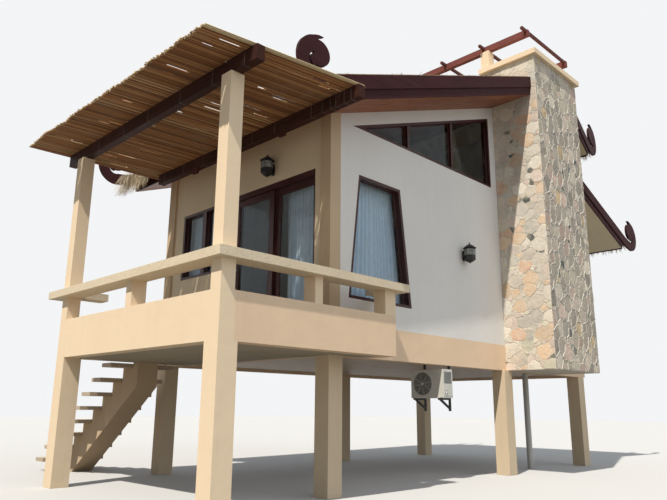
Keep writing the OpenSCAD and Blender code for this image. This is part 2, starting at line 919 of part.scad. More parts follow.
module door_curtain() {
    color(cloth) place() translate([0, wall_y0 + wall_t, 0])
        curtain(leaf_mid + inner_stile, door_x1 + curtain_out, curtain_hem_z);
}

module side_curtain() {
    x = wall_x1 - wall_t - rod_in;
    top = side_rod_z - rod_d / 2;
    hem = side_window[0][1] - 2 * curtain_out;
    color(cloth) place() side_prism(x - curtain_t / 2, x + curtain_t / 2, [
        [side_window[0][0], hem], [side_window[1][0], hem],
        [side_window[2][0] + curtain_out, top], [side_window[3][0] - curtain_out, top]
    ]);
}

module front_curtain() {
    color(cloth) place() translate([0, wall_y0 + wall_t, 0])
        curtain(front_window[0] - curtain_out, front_window[1] + curtain_out,
            front_window[2] - 2 * curtain_out);
}

// A six-sided wall lantern: an upright glass body with a tapered foot, under a roof that
// overhangs, with a short arm to a plate on the wall. The wall's face is lantern_out along Y.
lantern_out = 130;
lantern_d = 188;
lantern_h = 205;
lantern_foot_h = 42;
lantern_foot_d = 70;
lantern_roof_h = 58;
lantern_roof_d = 235;
lantern_top_d = 120;
lantern_tip_h = 50;
plate_w = 70;
plate_t = 14;
plate_h = 180;
arm_w = 24;
front_lantern_at = [-1742, 2775];
side_lantern_at = [5300, 1780];

module lantern() {
    cylinder(h = lantern_h, d = lantern_d, $fn = 6);
    translate([0, 0, -lantern_foot_h])
        cylinder(h = lantern_foot_h, d1 = lantern_foot_d, d2 = lantern_d, $fn = 6);
    translate([0, 0, lantern_h])
        cylinder(h = lantern_roof_h, d1 = lantern_roof_d, d2 = lantern_top_d, $fn = 6);
    translate([0, 0, lantern_h + lantern_roof_h])
        cylinder(h = lantern_tip_h, d1 = arm_w, d2 = arm_w / 3, $fn = 6);
    translate([-arm_w / 2, 0, lantern_foot_h]) cube([arm_w, lantern_out, arm_w]);
    translate([-plate_w / 2, lantern_out - plate_t, 0]) cube([plate_w, plate_t, plate_h]);
}

module front_lantern() {
    color(dark_metal) place()
        translate([front_lantern_at[0], wall_y0 - lantern_out, front_lantern_at[1]]) lantern();
}

module side_lantern() {
    color(dark_metal) place()
        translate([wall_x1 + lantern_out, side_lantern_at[0], side_lantern_at[1]])
            rotate([0, 0, 90]) lantern();
}

// The outdoor unit stands on two brackets that hang from the floor and from the side beam
unit_x = [-1125, -500];
unit_y = [4595, 4845];
unit_z = [-500, -60];
fan_x = -900;
fan_d = 360;
fan_depth = 25;
bracket_xs = [-1065, -590];

// A leg behind the unit, an arm under it and a brace between them
module unit_bracket(x, top) {
    bar = 30;
    leg_y = unit_y[1] + 5;
    foot_z = unit_z[0] - 200;
    arm_z = unit_z[0] - bar;
    side_solid(x, x + bar) {
        translate([leg_y, foot_z]) square([bar, top - foot_z]);
        translate([unit_y[0] - bar, arm_z]) square([leg_y - unit_y[0] + 2 * bar, bar]);
        polygon([[unit_y[0], arm_z + 1], [unit_y[0] + 2 * bar, arm_z + 1],
            [leg_y + 1, foot_z + 2 * bar], [leg_y + 1, foot_z + bar]]);
    }
}

module outdoor_unit() {
    color(grey) place() difference() {
        block([unit_x[0], unit_y[0], unit_z[0]], [unit_x[1], unit_y[1], unit_z[1]]);
        translate([fan_x, unit_y[0] + fan_depth, (unit_z[0] + unit_z[1]) / 2]) rotate([90, 0, 0])
            cylinder(h = fan_depth + 1, d = fan_d);
    }
}

module unit_brackets() {
    color(dark_metal) place() {
        unit_bracket(bracket_xs[0], slab_z);
        unit_bracket(bracket_xs[1], 0);
    }
}

terrace_stilts();
house_stilts();
drain_pipe();
terrace_slab();
front_parapet();
right_parapet();
parapet_returns();
rail_stubs();
front_rail();
right_rail();
rail_returns();
upper_posts();
stair_stringer();
stair_treads();
house_floor();
side_base_beams();
end_base_beams();
front_wall_sides();
front_wall_head();
right_wall();
left_wall();
back_wall();
upper_back_wall();
corner_columns();
stone_pylon();
pylon_cap();
front_roof_deck();
rear_roof_deck();
lower_roof_deck();
front_thatch();
rear_thatch();
lower_thatch();
front_rakes();
rear_rakes();
lower_rakes();
eave_fascias();
outer_beam();
inner_beam();
beam_blocks();
reed_cover();
roof_posts();
roof_beams();
roof_cross_pieces();
window_frames();
window_glass();
curtain_rods();
door_frame();
fixed_leaf();
fixed_leaf_glass();
sliding_leaf();
sliding_leaf_glass();
door_curtain();
side_curtain();
front_curtain();
front_lantern();
side_lantern();
outdoor_unit();
unit_brackets();
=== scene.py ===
"""Looks of the stilt house: materials, thatch, reeds, stones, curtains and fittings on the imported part."""

import math
from types import SimpleNamespace

import bpy
import numpy as np
from mathutils import Matrix, Vector


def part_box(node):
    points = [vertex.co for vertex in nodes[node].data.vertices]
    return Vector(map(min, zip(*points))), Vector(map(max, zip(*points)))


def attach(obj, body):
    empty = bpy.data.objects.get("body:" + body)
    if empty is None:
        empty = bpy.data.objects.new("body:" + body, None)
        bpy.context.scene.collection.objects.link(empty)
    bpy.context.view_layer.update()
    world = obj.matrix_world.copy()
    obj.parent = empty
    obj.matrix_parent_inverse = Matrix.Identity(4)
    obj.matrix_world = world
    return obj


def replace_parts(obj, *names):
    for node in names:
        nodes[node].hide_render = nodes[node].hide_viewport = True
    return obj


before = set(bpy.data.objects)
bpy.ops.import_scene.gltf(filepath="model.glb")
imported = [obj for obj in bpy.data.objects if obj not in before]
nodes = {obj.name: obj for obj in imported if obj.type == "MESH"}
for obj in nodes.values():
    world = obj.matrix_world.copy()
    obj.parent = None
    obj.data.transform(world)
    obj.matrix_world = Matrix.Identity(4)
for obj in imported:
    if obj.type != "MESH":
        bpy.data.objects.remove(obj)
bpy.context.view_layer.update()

# The part's own drawing is laid out from the front right corner of the terrace, at the
# underside of the floor beams. All lengths here are metres in that layout.
corner_lo, corner_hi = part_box("front_parapet")
ORIGIN = np.array([corner_hi.x, corner_lo.y, corner_lo.z])
X, Y, Z = 0, 1, 2
ALONG_X, ALONG_Y, UP = np.eye(3)

rng = np.random.default_rng(7)
uniform, norm = rng.uniform, np.linalg.norm


# ---- materials


def nd(tree, kind, ins=None, **props):
    """A node with its settings; each input is a value, a colour or another node's socket."""
    n = tree.nodes.new("ShaderNode" + kind)
    for key, value in props.items():
        setattr(n, key, value)
    for key, value in (ins or {}).items():
        target = n.inputs[key]
        if isinstance(value, bpy.types.NodeSocket):
            tree.links.new(value, target)
        else:
            target.default_value = (*value, 1.0) if target.type == "RGBA" else value
    return n


def coords(t, scale=(1, 1, 1)):
    at = nd(t, "TexCoord").outputs["Object"]
    return nd(t, "Mapping", {"Vector": at, "Scale": scale}).outputs[0]


def noise(t, scale, detail, rough, distortion=0.0):
    """Noise at one scale, or at three for a stretched grain."""
    stretch, size = (scale, 1.0) if np.ndim(scale) else ((1, 1, 1), scale)
    ins = {"Scale": size, "Detail": detail, "Roughness": rough, "Distortion": distortion}
    return nd(t, "TexNoise", {"Vector": coords(t, stretch), **ins}).outputs[0]


def ramp(t, value, x0, x1, y0=0.0, y1=1.0):
    """A grey level that goes from y0 at x0 to y1 at x1."""
    n = nd(t, "ValToRGB", {0: value})
    for element, at, level in zip(n.color_ramp.elements, (x0, x1), (y0, y1)):
        element.position, element.color = at, (level, level, level, 1)
    return n.outputs[0]


def mask(t, scale, detail, rough, *levels):
    """Patches: a ramp over plain noise."""
    return ramp(t, noise(t, scale, detail, rough), *levels)


def mix(t, factor, a, b, blend="MIX"):
    return nd(t, "Mix", {0: factor, 6: a, 7: b}, data_type="RGBA", blend_type=blend).outputs[2]


def maths(t, op, a, b):
    return nd(t, "Math", {0: a, 1: b}, operation=op).outputs[0]


def lay(t, where, share, base, colour):
    """The colour laid over the base by a share of the grey level."""
    return mix(t, maths(t, "MULTIPLY", where, share), base, colour)


def shade(colour, factor):
    return [factor * c for c in colour]


def relief(t, *steps):
    """Bumps one on the other; each step is a height, a distance and a strength."""
    over = {}
    for height, distance, strength in steps:
        n = nd(t, "Bump", {"Height": height, "Distance": distance, "Strength": strength, **over})
        over = {"Normal": n.outputs[0]}
    return n.outputs[0]


def output(t, shader):
    nd(t, "OutputMaterial", {"Surface": shader.outputs[0]})


def surface(t, base, rough, *steps, **more):
    """A plain surface with its steps of relief and any further inputs, named with _ for a space."""
    ins = {"Base Color": base, "Roughness": rough, "Normal": relief(t, *steps)}
    output(t, nd(t, "BsdfPrincipled", {**ins, **{k.replace("_", " "): v for k, v in more.items()}}))


def mix_shaders(t, factor, a, b):
    return nd(t, "MixShader", {0: factor, 1: a.outputs[0], 2: b.outputs[0]})


def plaster(t, colour, stain, grit=0.0010, amount=0.6):
    """Painted render: cloudy tone, faint runs down the face, a trowelled and sandy surface."""
    cloud = mask(t, 0.9, 6, 0.6, 0.36, 0.66)
    base = lay(t, cloud, 0.55 * amount, colour, stain)
    base = lay(t, mask(t, (7, 7, 0.5), 5, 0.6, 0.50, 0.74), 0.45 * amount, base, stain)
    base = lay(t, mask(t, 46, 3, 0.7, 0.35, 0.75), 0.12, base, shade(stain, 0.82))
    dull = maths(t, "ADD", maths(t, "MULTIPLY", cloud, 0.08), 0.82)
    steps = (noise(t, 5.5, 4, 0.5), 0.010, 0.45), (noise(t, 170, 4, 0.65), grit, 0.8)
    surface(t, base, dull, *steps, Specular_IOR_Level=0.3)


def timber(t, dark, light, axis, rough, shine, coat=0.0, across=1.0):
    """Wood with its grain along one axis: long streaks, fine fibres and a few darker bands."""
    fast, fine = [26.0 * across] * 3, [150.0] * 3
    fast[axis], fine[axis] = 1.3, 4.0
    grain, fibre, slow = noise(t, fast, 8, 0.62, 0.7), noise(t, fine, 4, 0.6), noise(t, 1.7, 3, 0.5)
    base = mix(t, ramp(t, grain, 0.30, 0.70), dark, light)
    base = mix(t, ramp(t, fibre, 0.45, 0.85, 0.0, 0.45), base, shade(dark, 0.55))
    base = mix(t, ramp(t, slow, 0.40, 0.75, 0.0, 0.35), base, shade(light, 1.25))
    gloss = ramp(t, slow, 0.3, 0.8, rough - 0.07, rough + 0.12)
    more = {"Coat_Weight": coat, "Coat_Roughness": 0.18, "Specular_IOR_Level": shine}
    surface(t, base, gloss, (grain, 0.0025, 0.7), (fibre, 0.0006, 0.8), **more)


def by_tint(t, value, *levels):
    """The piece's own tint, made lighter and darker by the value."""
    tint = nd(t, "Attribute", attribute_name="tint").outputs["Color"]
    return mix(t, 1.0, tint, ramp(t, value, *levels), "MULTIPLY")


def tinted(t, low, high, rough, scale, grit, share, veins):
    """Stone or mortar in the piece's own tint, with flecks, veins and a fine relief."""
    base = by_tint(t, noise(t, scale * 0.35, 5, 0.65), 0.28, 0.72, low, high)
    base = lay(t, ramp(t, noise(t, 5.0, 5, 0.6, 0.4), 0.42, 0.68), share, base, veins)
    coarse, fine = noise(t, scale * 0.2, 4, 0.6), noise(t, scale, 4, 0.6)
    surface(t, base, rough, (coarse, grit * 4, 0.6), (fine, grit, 0.9))


def fibrous(t, rough):
    """Dry leaf and cane: the strand's own tint, with fibres along it."""
    fibre = noise(t, (210, 30, 60), 4, 0.6)
    base = by_tint(t, fibre, 0.25, 0.75, 0.72, 1.12)
    base = mix(t, mask(t, 2.3, 4, 0.6, 0.50, 0.78, 0.0, 0.30), base, (0.36, 0.29, 0.21))
    surface(t, base, rough, (fibre, 0.001, 0.8), Specular_IOR_Level=0.2)


def straw_bed(t):
    """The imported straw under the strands."""
    fibre = noise(t, (120, 7, 7), 6, 0.65)
    base = mix(t, ramp(t, fibre, 0.3, 0.7), (0.16, 0.11, 0.06), (0.56, 0.42, 0.24))
    base = mix(t, mask(t, 3.0, 4, 0.6, 0.45, 0.8, 0.0, 0.5), base, (0.30, 0.23, 0.15))
    surface(t, base, 0.9, (fibre, 0.012, 1.0))


def terrazzo(t, colour, chips, dark):
    """Washed aggregate: pale paste with small chips of two tones, slightly pitted."""
    v = nd(t, "TexVoronoi", {"Vector": coords(t), "Scale": 130.0, "Randomness": 1.0}).outputs
    base = lay(t, ramp(t, v["Color"], 0.2, 0.8), 0.8, colour, chips)
    base = lay(t, mask(t, 210, 3, 0.7, 0.60, 0.72), 0.75, base, dark)
    base = lay(t, mask(t, 1.6, 5, 0.6, 0.4, 0.7), 0.25, base, chips)
    surface(t, base, 0.72, (v["Distance"], 0.0016, 0.8), (noise(t, 9, 3, 0.5), 0.008, 0.5))


def tiles(t, colour, other, side):
    """Square floor tiles with joints."""
    laid = {
        "Vector": coords(t), "Color1": colour, "Color2": other, "Mortar": shade(colour, 0.55), "Scale": 1.0,
        "Mortar Size": 0.006, "Mortar Smooth": 0.3, "Brick Width": side, "Row Height": side,
    }
    brick = nd(t, "TexBrick", laid, offset=0.0, squash=1.0).outputs
    cloud = mask(t, 6, 5, 0.6, 0.35, 0.7, 0.86, 1.06)
    base = mix(t, 1.0, brick["Color"], cloud, "MULTIPLY")
    down = maths(t, "SUBTRACT", 1.0, brick["Fac"])
    surface(t, base, 0.5, (down, 0.003, 0.8), (noise(t, 60, 3, 0.6), 0.0006, 0.7))


def metal(t, colour, rough, metallic):
    worn = [min(1, 2.4 * c + 0.02) for c in colour]
    base = lay(t, mask(t, 24, 5, 0.65, 0.45, 0.8), 0.5, colour, worn)
    gloss = mask(t, 15, 3, 0.6, 0.3, 0.8, rough - 0.1, rough + 0.15)
    surface(t, base, gloss, (noise(t, 260, 3, 0.6), 0.0004, 0.8), Metallic=metallic)


def plastic(t, colour, rough):
    dust = mask(t, (6, 6, 2.4), 5, 0.6, 0.4, 0.8)
    base = lay(t, dust, 0.45, colour, shade(colour, 0.72))
    gloss = ramp(t, dust, 0.0, 1.0, rough, rough + 0.2)
    surface(t, base, gloss, (noise(t, 300, 2, 0.5), 0.0003, 0.6))


def glass(t, tone, strength):
    """A window pane: it lets most light straight through and mirrors more at a grazing look."""
    ripple = relief(t, (noise(t, 1.4, 2, 0.5), 0.004, 0.25))
    grime = mask(t, 5, 5, 0.65, 0.5, 0.85, 0.0, 0.10)
    clear = nd(t, "BsdfTransparent", {"Color": tone})
    # The mirroring is real; its sky-blue tint is a painted reflection of a sky.
    shine = nd(t, "BsdfGlossy", {"Color": (0.82, 0.93, 1.0), "Roughness": 0.02, "Normal": ripple})
    film = nd(t, "BsdfDiffuse", {"Color": (0.5, 0.5, 0.48)})
    grazing = nd(t, "Fresnel", {"IOR": 1.52, "Normal": ripple}).outputs[0]
    outside = maths(t, "SUBTRACT", 1.0, nd(t, "NewGeometry").outputs["Backfacing"])
    part = maths(t, "MULTIPLY", maths(t, "MULTIPLY", grazing, strength), outside)
    output(t, mix_shaders(t, part, mix_shaders(t, grime, clear, film), shine))


def frosted(t, colour):
    """Milky lantern glass: part of the light passes, the rest spreads."""
    haze = mask(t, 30, 4, 0.6, 0.3, 0.8, 0.50, 0.75)
    clear = nd(t, "BsdfTransparent", {"Color": (0.8, 0.8, 0.78)})
    output(t, mix_shaders(t, haze, clear, nd(t, "BsdfPrincipled", {"Base Color": colour, "Roughness": 0.35})))


def cloth(t, colour, fold):
    """Thin curtain cloth: fine weave, some light through it."""
    threads = {"Vector": coords(t), "Scale": 260.0, "Distortion": 0.4}
    warp, weft = (nd(t, "TexWave", threads, bands_direction=way).outputs["Fac"] for way in "XZ")
    slub = noise(t, (60, 60, 9), 4, 0.6)
    base = mix(t, ramp(t, slub, 0.35, 0.75, 0.0, 0.6), colour, fold)
    shape = relief(t, (maths(t, "ADD", warp, weft), 0.0006, 0.6), (slub, 0.002, 0.5))
    face = {"Base Color": base, "Roughness": 0.9, "Sheen Weight": 0.2, "Normal": shape}
    face = nd(t, "BsdfPrincipled", face)
    output(t, mix_shaders(t, 0.3, face, nd(t, "BsdfTranslucent", {"Color": base, "Normal": shape})))


MAROON = (0.032, 0.012, 0.014), (0.058, 0.021, 0.023)
MAHOGANY = (0.024, 0.008, 0.007), (0.066, 0.018, 0.016)

# For each material: how it is made, the nodes of the part that wear it, and its values.
LOOKS = {
    "cream_paint": (plaster, "terrace_stilts front_parapet rail_stubs upper_posts pylon_cap roof_posts",
        (0.86, 0.69, 0.49), (0.76, 0.59, 0.41)),
    # A darker, warmer copy of the cream paint, standing for the shade on faces that the sun only grazes:
    # painted shade.
    "shaded_peach_paint": (plaster, "right_parapet parapet_returns side_base_beams end_base_beams",
        (0.84, 0.63, 0.44), (0.72, 0.53, 0.37)),
    "white_paint": (plaster, "right_wall left_wall back_wall upper_back_wall",
        (0.80, 0.78, 0.75), (0.70, 0.67, 0.62), 0.0009, 0.45),
    # The front wall is the white paint made darker and warmer: partly a cream paint, partly painted shade and
    # warm bounce light under the terrace roof.
    "front_wall_paint_and_shade": (plaster, "front_wall_sides front_wall_head",
        (0.74, 0.62, 0.45), (0.64, 0.52, 0.36), 0.0009, 0.45),
    "tan_paint": (plaster, "corner_columns stair_stringer", (0.60, 0.45, 0.30), (0.48, 0.36, 0.24)),
    # The stilts take the cream paint darkened towards tan: painted shade under the house.
    "stilt_paint_shaded": (plaster, "house_stilts", (0.72, 0.58, 0.41), (0.58, 0.46, 0.32)),
    "soffit_paint": (plaster, "rear_roof_deck lower_roof_deck", (0.82, 0.72, 0.53), (0.72, 0.61, 0.44)),
    # The terrace slab takes a darker render than the paint round it.
    "dark_slab_render": (plaster, "terrace_slab", (0.40, 0.34, 0.25), (0.30, 0.25, 0.19), 0.003, 0.9),
    "maroon_boards": (timber, "front_rakes rear_rakes lower_rakes", *MAROON, Y, 0.55, 0.05),
    "maroon_fascia": (timber, "eave_fascias", *MAROON, X, 0.55, 0.05),
    "dark_beam": (timber, "outer_beam inner_beam",
        (0.018, 0.009, 0.007), (0.062, 0.022, 0.016), X, 0.55, 0.08),
    "dark_block": (timber, "beam_blocks", (0.026, 0.011, 0.009), (0.080, 0.027, 0.021), Y, 0.55, 0.08),
    "mahogany_frame": (timber, "window_frames fixed_leaf sliding_leaf", *MAHOGANY, Z, 0.36, 0.25, 0.06),
    "mahogany_head": (timber, "door_frame", *MAHOGANY, X, 0.36, 0.25, 0.06),
    "trellis_beam": (timber, "roof_beams", (0.130, 0.042, 0.036), (0.240, 0.080, 0.066), X, 0.6, 0.1),
    "trellis_slat": (timber, "roof_cross_pieces", (0.070, 0.028, 0.028), (0.150, 0.056, 0.052), Y, 0.6, 0.1),
    "varnished_boards": (timber, "front_roof_deck",
        (0.160, 0.052, 0.024), (0.380, 0.145, 0.070), Y, 0.40, 0.15, 0.02, 0.4),
    "straw_bed": (straw_bed, "front_thatch rear_thatch lower_thatch"),
    "straw_strand": (fibrous, "", 0.8),
    "reed_cane": (fibrous, "reed_cover", 0.62),
    "washed_aggregate": (terrazzo, "front_rail right_rail rail_returns",
        (0.80, 0.69, 0.52), (0.56, 0.45, 0.31), (0.24, 0.19, 0.14)),
    "tread_aggregate": (terrazzo, "stair_treads", (0.56, 0.45, 0.33), (0.42, 0.34, 0.25), (0.24, 0.20, 0.16)),
    "mortar": (tinted, "stone_pylon", 0.82, 1.06, 0.92, 110, 0.0016, 0.3, (0.50, 0.47, 0.41)),
    # The side stones are darker than the pale front stones, with darker veins: partly their own colour,
    # partly painted shade.
    "stone_face": (tinted, "", 0.62, 1.14, 0.86, 70, 0.0018, 0.5, (0.40, 0.36, 0.30)),
    "pale_stone_face": (tinted, "", 0.80, 1.10, 0.84, 60, 0.0016, 0.55, (0.74, 0.63, 0.50)),
    "floor_tiles": (tiles, "house_floor", (0.56, 0.42, 0.30), (0.50, 0.36, 0.25), 0.3),
    "window_pane": (glass, "window_glass fixed_leaf_glass sliding_leaf_glass", (0.93, 0.96, 0.97), 0.45),
    "curtain_cloth": (cloth, "door_curtain side_curtain front_curtain",
        (0.78, 0.88, 0.99), (0.67, 0.78, 0.92)),
    "black_iron": (metal, "curtain_rods front_lantern side_lantern unit_brackets",
        (0.018, 0.018, 0.018), 0.48, 0.5),
    "brushed_steel": (metal, "", (0.42, 0.42, 0.41), 0.32, 1.0),
    "tie_wire": (metal, "", (0.26, 0.23, 0.19), 0.6, 0.3),
    "lantern_glass": (frosted, "", (0.50, 0.50, 0.46)),
    "unit_case": (plastic, "outdoor_unit", (0.66, 0.65, 0.60), 0.42),
    "fan_black": (plastic, "", (0.030, 0.032, 0.034), 0.5),
    "drain_plastic": (plastic, "drain_pipe", (0.52, 0.51, 0.48), 0.42),
}
PYLON_TINT = (0.74, 0.69, 0.60)


def material(name):
    """A material with an empty node tree."""
    mat = bpy.data.materials.new(name)
    mat.use_nodes = True
    mat.node_tree.nodes.clear()
    return mat


def paint_vertices(mesh, tints):
    """Gives each point its own tint, which stone, mortar, straw and cane show."""
    layer = mesh.color_attributes.new("tint", "FLOAT_COLOR", "POINT")
    full = np.ones((len(mesh.vertices), 4), np.float32)
    full[:, :3] = tints
    layer.data.foreach_set("color", full.ravel())


mats = {}
for name, (build, worn_by, *values) in LOOKS.items():
    mats[name] = material(name)
    build(mats[name].node_tree, *values)
    for node in worn_by.split():
        nodes[node].data.materials.clear()
        nodes[node].data.materials.append(mats[name])
paint_vertices(nodes["stone_pylon"].data, PYLON_TINT)


# ---- geometry helpers


def link(name, data):
    o = bpy.data.objects.new(name, data)
    bpy.context.scene.collection.objects.link(o)
    return o


def box_of(node):
    lo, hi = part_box(node)
    return np.array(lo) - ORIGIN, np.array(hi) - ORIGIN


def circle(centre, u, v, radius, count):
    """Points round a centre in the plane of u and v."""
    a = np.arange(count)[:, None] * 2 * math.pi / count
    return centre + radius * (np.cos(a) * u + np.sin(a) * v)


def unit(v):
    return v / norm(v)


def xyz(*columns):
    """Columns side by side; a single value is repeated."""
    return np.stack(np.broadcast_arrays(*columns), 1)


def bands(n, steps):
    """Quads from one ring of n points to another, for each pair of rings."""
    a = np.arange(n)
    b = (a + 1) % n
    return np.vstack([xyz(a + k * n, b + k * n, b + j * n, a + j * n) for k, j in steps])


def grid(rows, cols):
    """Quads of a sheet of points in rows."""
    k = (np.arange(rows - 1)[:, None] * cols + np.arange(cols - 1)).ravel()
    return xyz(k, k + 1, k + cols + 1, k + cols)


class Shape:
    """Points and faces of one piece, gathered in the drawing's layout, in metres."""

    def __init__(self):
        self.points, self.faces, self.tints, self.count = [], [], [], 0

    def add(self, points, faces, tint=(1, 1, 1)):
        points = np.asarray(points, float).reshape(-1, 3)
        self.points.append(points)
        self.tints.append(np.broadcast_to(np.asarray(tint, float), points.shape))
        self.faces += [np.atleast_2d(np.asarray(f, int)) + self.count for f in faces]
        self.count += len(points)

    def box(self, a, b):
        p = [(x, y, z) for x in (a[0], b[0]) for y in (a[1], b[1]) for z in (a[2], b[2])]
        self.add(p, [[[0, 1, 3, 2], [4, 6, 7, 5], [0, 4, 5, 1], [2, 3, 7, 6], [0, 2, 6, 4], [1, 5, 7, 3]]])

    def rings(self, stack, tint=(1, 1, 1), closed=False):
        """Closed outlines of equal count joined one to the next, with both ends capped."""
        stack = np.asarray(stack, float)
        m, n = stack.shape[:2]
        quads = bands(n, [(k, (k + 1) % m) for k in range(m if closed else m - 1)])
        caps = [] if closed else [np.arange(n)[::-1], np.arange(n) + (m - 1) * n]
        self.add(stack, [quads] + caps, tint)

    def prism(self, outline, along):
        """A closed outline of 3-D points, swept by the vector along, with both ends capped."""
        self.rings([outline, np.add(outline, along)])

    def tube(self, path, radius, sides, tint=(1, 1, 1), closed=False):
        """A round bar along a path of 3-D points; radius is one value or one for each point."""
        path = np.asarray(path, float)
        radius = np.broadcast_to(radius, len(path))
        step = np.roll(path, -1, 0) - np.roll(path, 1, 0) if closed else np.gradient(path, axis=0)
        step /= norm(step, axis=1)[:, None] + 1e-12
        up = np.eye(3)[np.argmin(np.abs(step).max(0))]
        u = np.cross(step, up)
        u /= norm(u, axis=1)[:, None]
        v = np.cross(step, u)
        a = np.arange(sides)[None, :, None] * 2 * math.pi / sides
        around = np.cos(a) * u[:, None] + np.sin(a) * v[:, None]
        self.rings(path[:, None] + radius[:, None, None] * around, tint, closed)

    def rod(self, a, step, radius, sides):
        """A straight round bar from a, as far as the vector step."""
        self.tube([a, np.add(a, step)], radius, sides)

    def make(self, name, look, slot, body="house", smooth=False):
        """The finished piece, riding on its body; the node slot is not used."""
        mesh = bpy.data.meshes.new(name)
        faces = [face for group in self.faces for face in group.tolist()]
        mesh.from_pydata(np.vstack(self.points) + ORIGIN, [], faces, shade_flat=not smooth)
        mesh.validate()
        paint_vertices(mesh, np.vstack(self.tints))
        mesh.materials.append(mats[look])
        o = link(name, mesh)
        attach(o, body)
        return o


# ---- roof: boards and thatch

RIDGE_Y, EAVE_Y, WALL_Y, REAR_Y, LOWER_Y = 7.660, 1.640, 2.090, 9.420, 10.870
WALL_X = -0.500  # outer face of the right wall
SOFFIT, DECK, THATCH_TOP = 3.395, 0.150, 0.380
DECK_X0, DECK_X1, RIDGE_OUT = -5.215, 0.105, 0.240
LOWER_FOOT = 3.655, 8.990  # height of the lower roof's underside, at which y
NOTCH_X, NOTCH_Y = -0.655, 6.512  # the pylon's cut-out in the front deck
FRONT_RISE, REAR_RISE, LOWER_RISE = 0.375, 0.42, 0.40
LOWER_TOP_Y = 8.36  # where the lower thatch starts, under the upper back wall


def plane(z, y0, rise):
    """The height of a slope at y, from a point on it and its rise to the back."""
    return lambda y: z + rise * (y - y0)


front_soffit = plane(SOFFIT, WALL_Y, FRONT_RISE)
rear_soffit = plane(front_soffit(RIDGE_Y), RIDGE_Y, -REAR_RISE)
lower_soffit = plane(*LOWER_FOOT, -LOWER_RISE)


def upper_sides(y):
    """Left and right edges of the upper slopes, which flare towards the ridge."""
    front, rear = (y - EAVE_Y) / (RIDGE_Y - EAVE_Y), (REAR_Y - y) / (REAR_Y - RIDGE_Y)
    out = RIDGE_OUT * np.where(y < RIDGE_Y, front, rear) - 0.001
    return DECK_X0 - out, DECK_X1 + out


def lower_sides(y):
    return np.full(np.shape(y), DECK_X0), np.full(np.shape(y), DECK_X1)


def at_pylon(x, y):
    return (x > -0.74) & (y > 6.50) & (y < 8.27)


def soffit_boards():
    """The front slope's boards, lengthways up the slope, with V joints on the underside."""
    s = Shape()
    vee, gap = 0.006, 0.0012
    flare = RIDGE_OUT / (RIDGE_Y - EAVE_Y)
    edges = [DECK_X0 - RIDGE_OUT + 0.002]
    right = DECK_X1 + flare * (NOTCH_Y - EAVE_Y) - 0.002
    for edge, count in ((DECK_X0, 4), (NOTCH_X, 44), (DECK_X1, 8), (right, 3)):
        edges += list(np.linspace(edges[-1], edge, count))[1:]
    for a, b in zip(edges[:-1], edges[1:]):
        y1 = RIDGE_Y if b < NOTCH_X + 0.001 else NOTCH_Y
        a, b = a + gap / 2, b - gap / 2
        lift = uniform(0, 0.0015)
        section = [(a + vee, lift), (b - vee, lift), (b, vee + lift), (b, DECK), (a, DECK), (a, vee + lift)]
        low, high = [], []
        for x, h in section:
            beyond = max(DECK_X0 - x, x - DECK_X1, 0.0)
            y = min(y1 - 0.02, max(EAVE_Y + 0.045, EAVE_Y + beyond / flare + 0.02))
            low.append((x, y, front_soffit(y) + h))
            high.append((x, y1, front_soffit(y1) + h))
        s.rings([low, high])
    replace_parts(s.make("soffit_boards", "varnished_boards", "front_roof_deck"), "front_roof_deck")


STRAWS = np.array([
    (0.66, 0.53, 0.35), (0.74, 0.62, 0.43), (0.54, 0.42, 0.27),
    (0.82, 0.71, 0.52), (0.44, 0.35, 0.24), (0.62, 0.54, 0.42),
])


def blades(s, mid, side, width):
    """Flat pointed strands along the rows of mid, an array of strand, row and X Y Z."""
    n, rows = mid.shape[:2]
    t = np.linspace(0, 1, rows)
    half = side * (0.5 * width[:, None] * (1.0 - 0.75 * t**2))[..., None]
    points = np.stack([mid - half, mid + half], 2)
    base = np.arange(n)[:, None] * 2 * rows
    quads = np.vstack([base + 2 * k + [0, 1, 3, 2] for k in range(rows - 1)])
    tone = STRAWS[rng.integers(0, len(STRAWS), n)] * uniform(0.8, 1.2, (n, 1))
    tints = tone[:, None, :] * np.repeat(0.62 + 0.5 * t, 2)[None, :, None]
    s.add(points, [quads], tints.reshape(-1, 3))


def strands(s, root, down, out, side, length, width, lift, sag, wander, near=1.0):
    """Strands of three rows, each from its root down the slope to its tip, less wild near an edge."""
    n = len(root)
    width, lift, sag = uniform(*width, n), uniform(*lift, n) * near, uniform(0.0, sag, n)
    wander = rng.normal(0, wander, n) * near
    down, out, side = (np.broadcast_to(a, root.shape)[:, None, :] for a in (down, out, side))
    t = np.array([0.0, 0.5, 1.0])
    mid = (
        root[:, None, :]
        + down * (length[:, None] * t)[..., None]
        + side * (length[:, None] * (wander[:, None] * t**2))[..., None]
        + out * (lift[:, None] * t - sag[:, None] * t**2)[..., None]
    )
    blades(s, mid, side, width)


def slope_axes(rise, sign):
    """The slope's cosine, and its unit vectors down and out; sign is -1 where it falls to the front."""
    c = 1 / math.hypot(1, rise)
    return c, np.array([0, sign * c, -rise * c]), np.array([0, sign * rise * c, c])


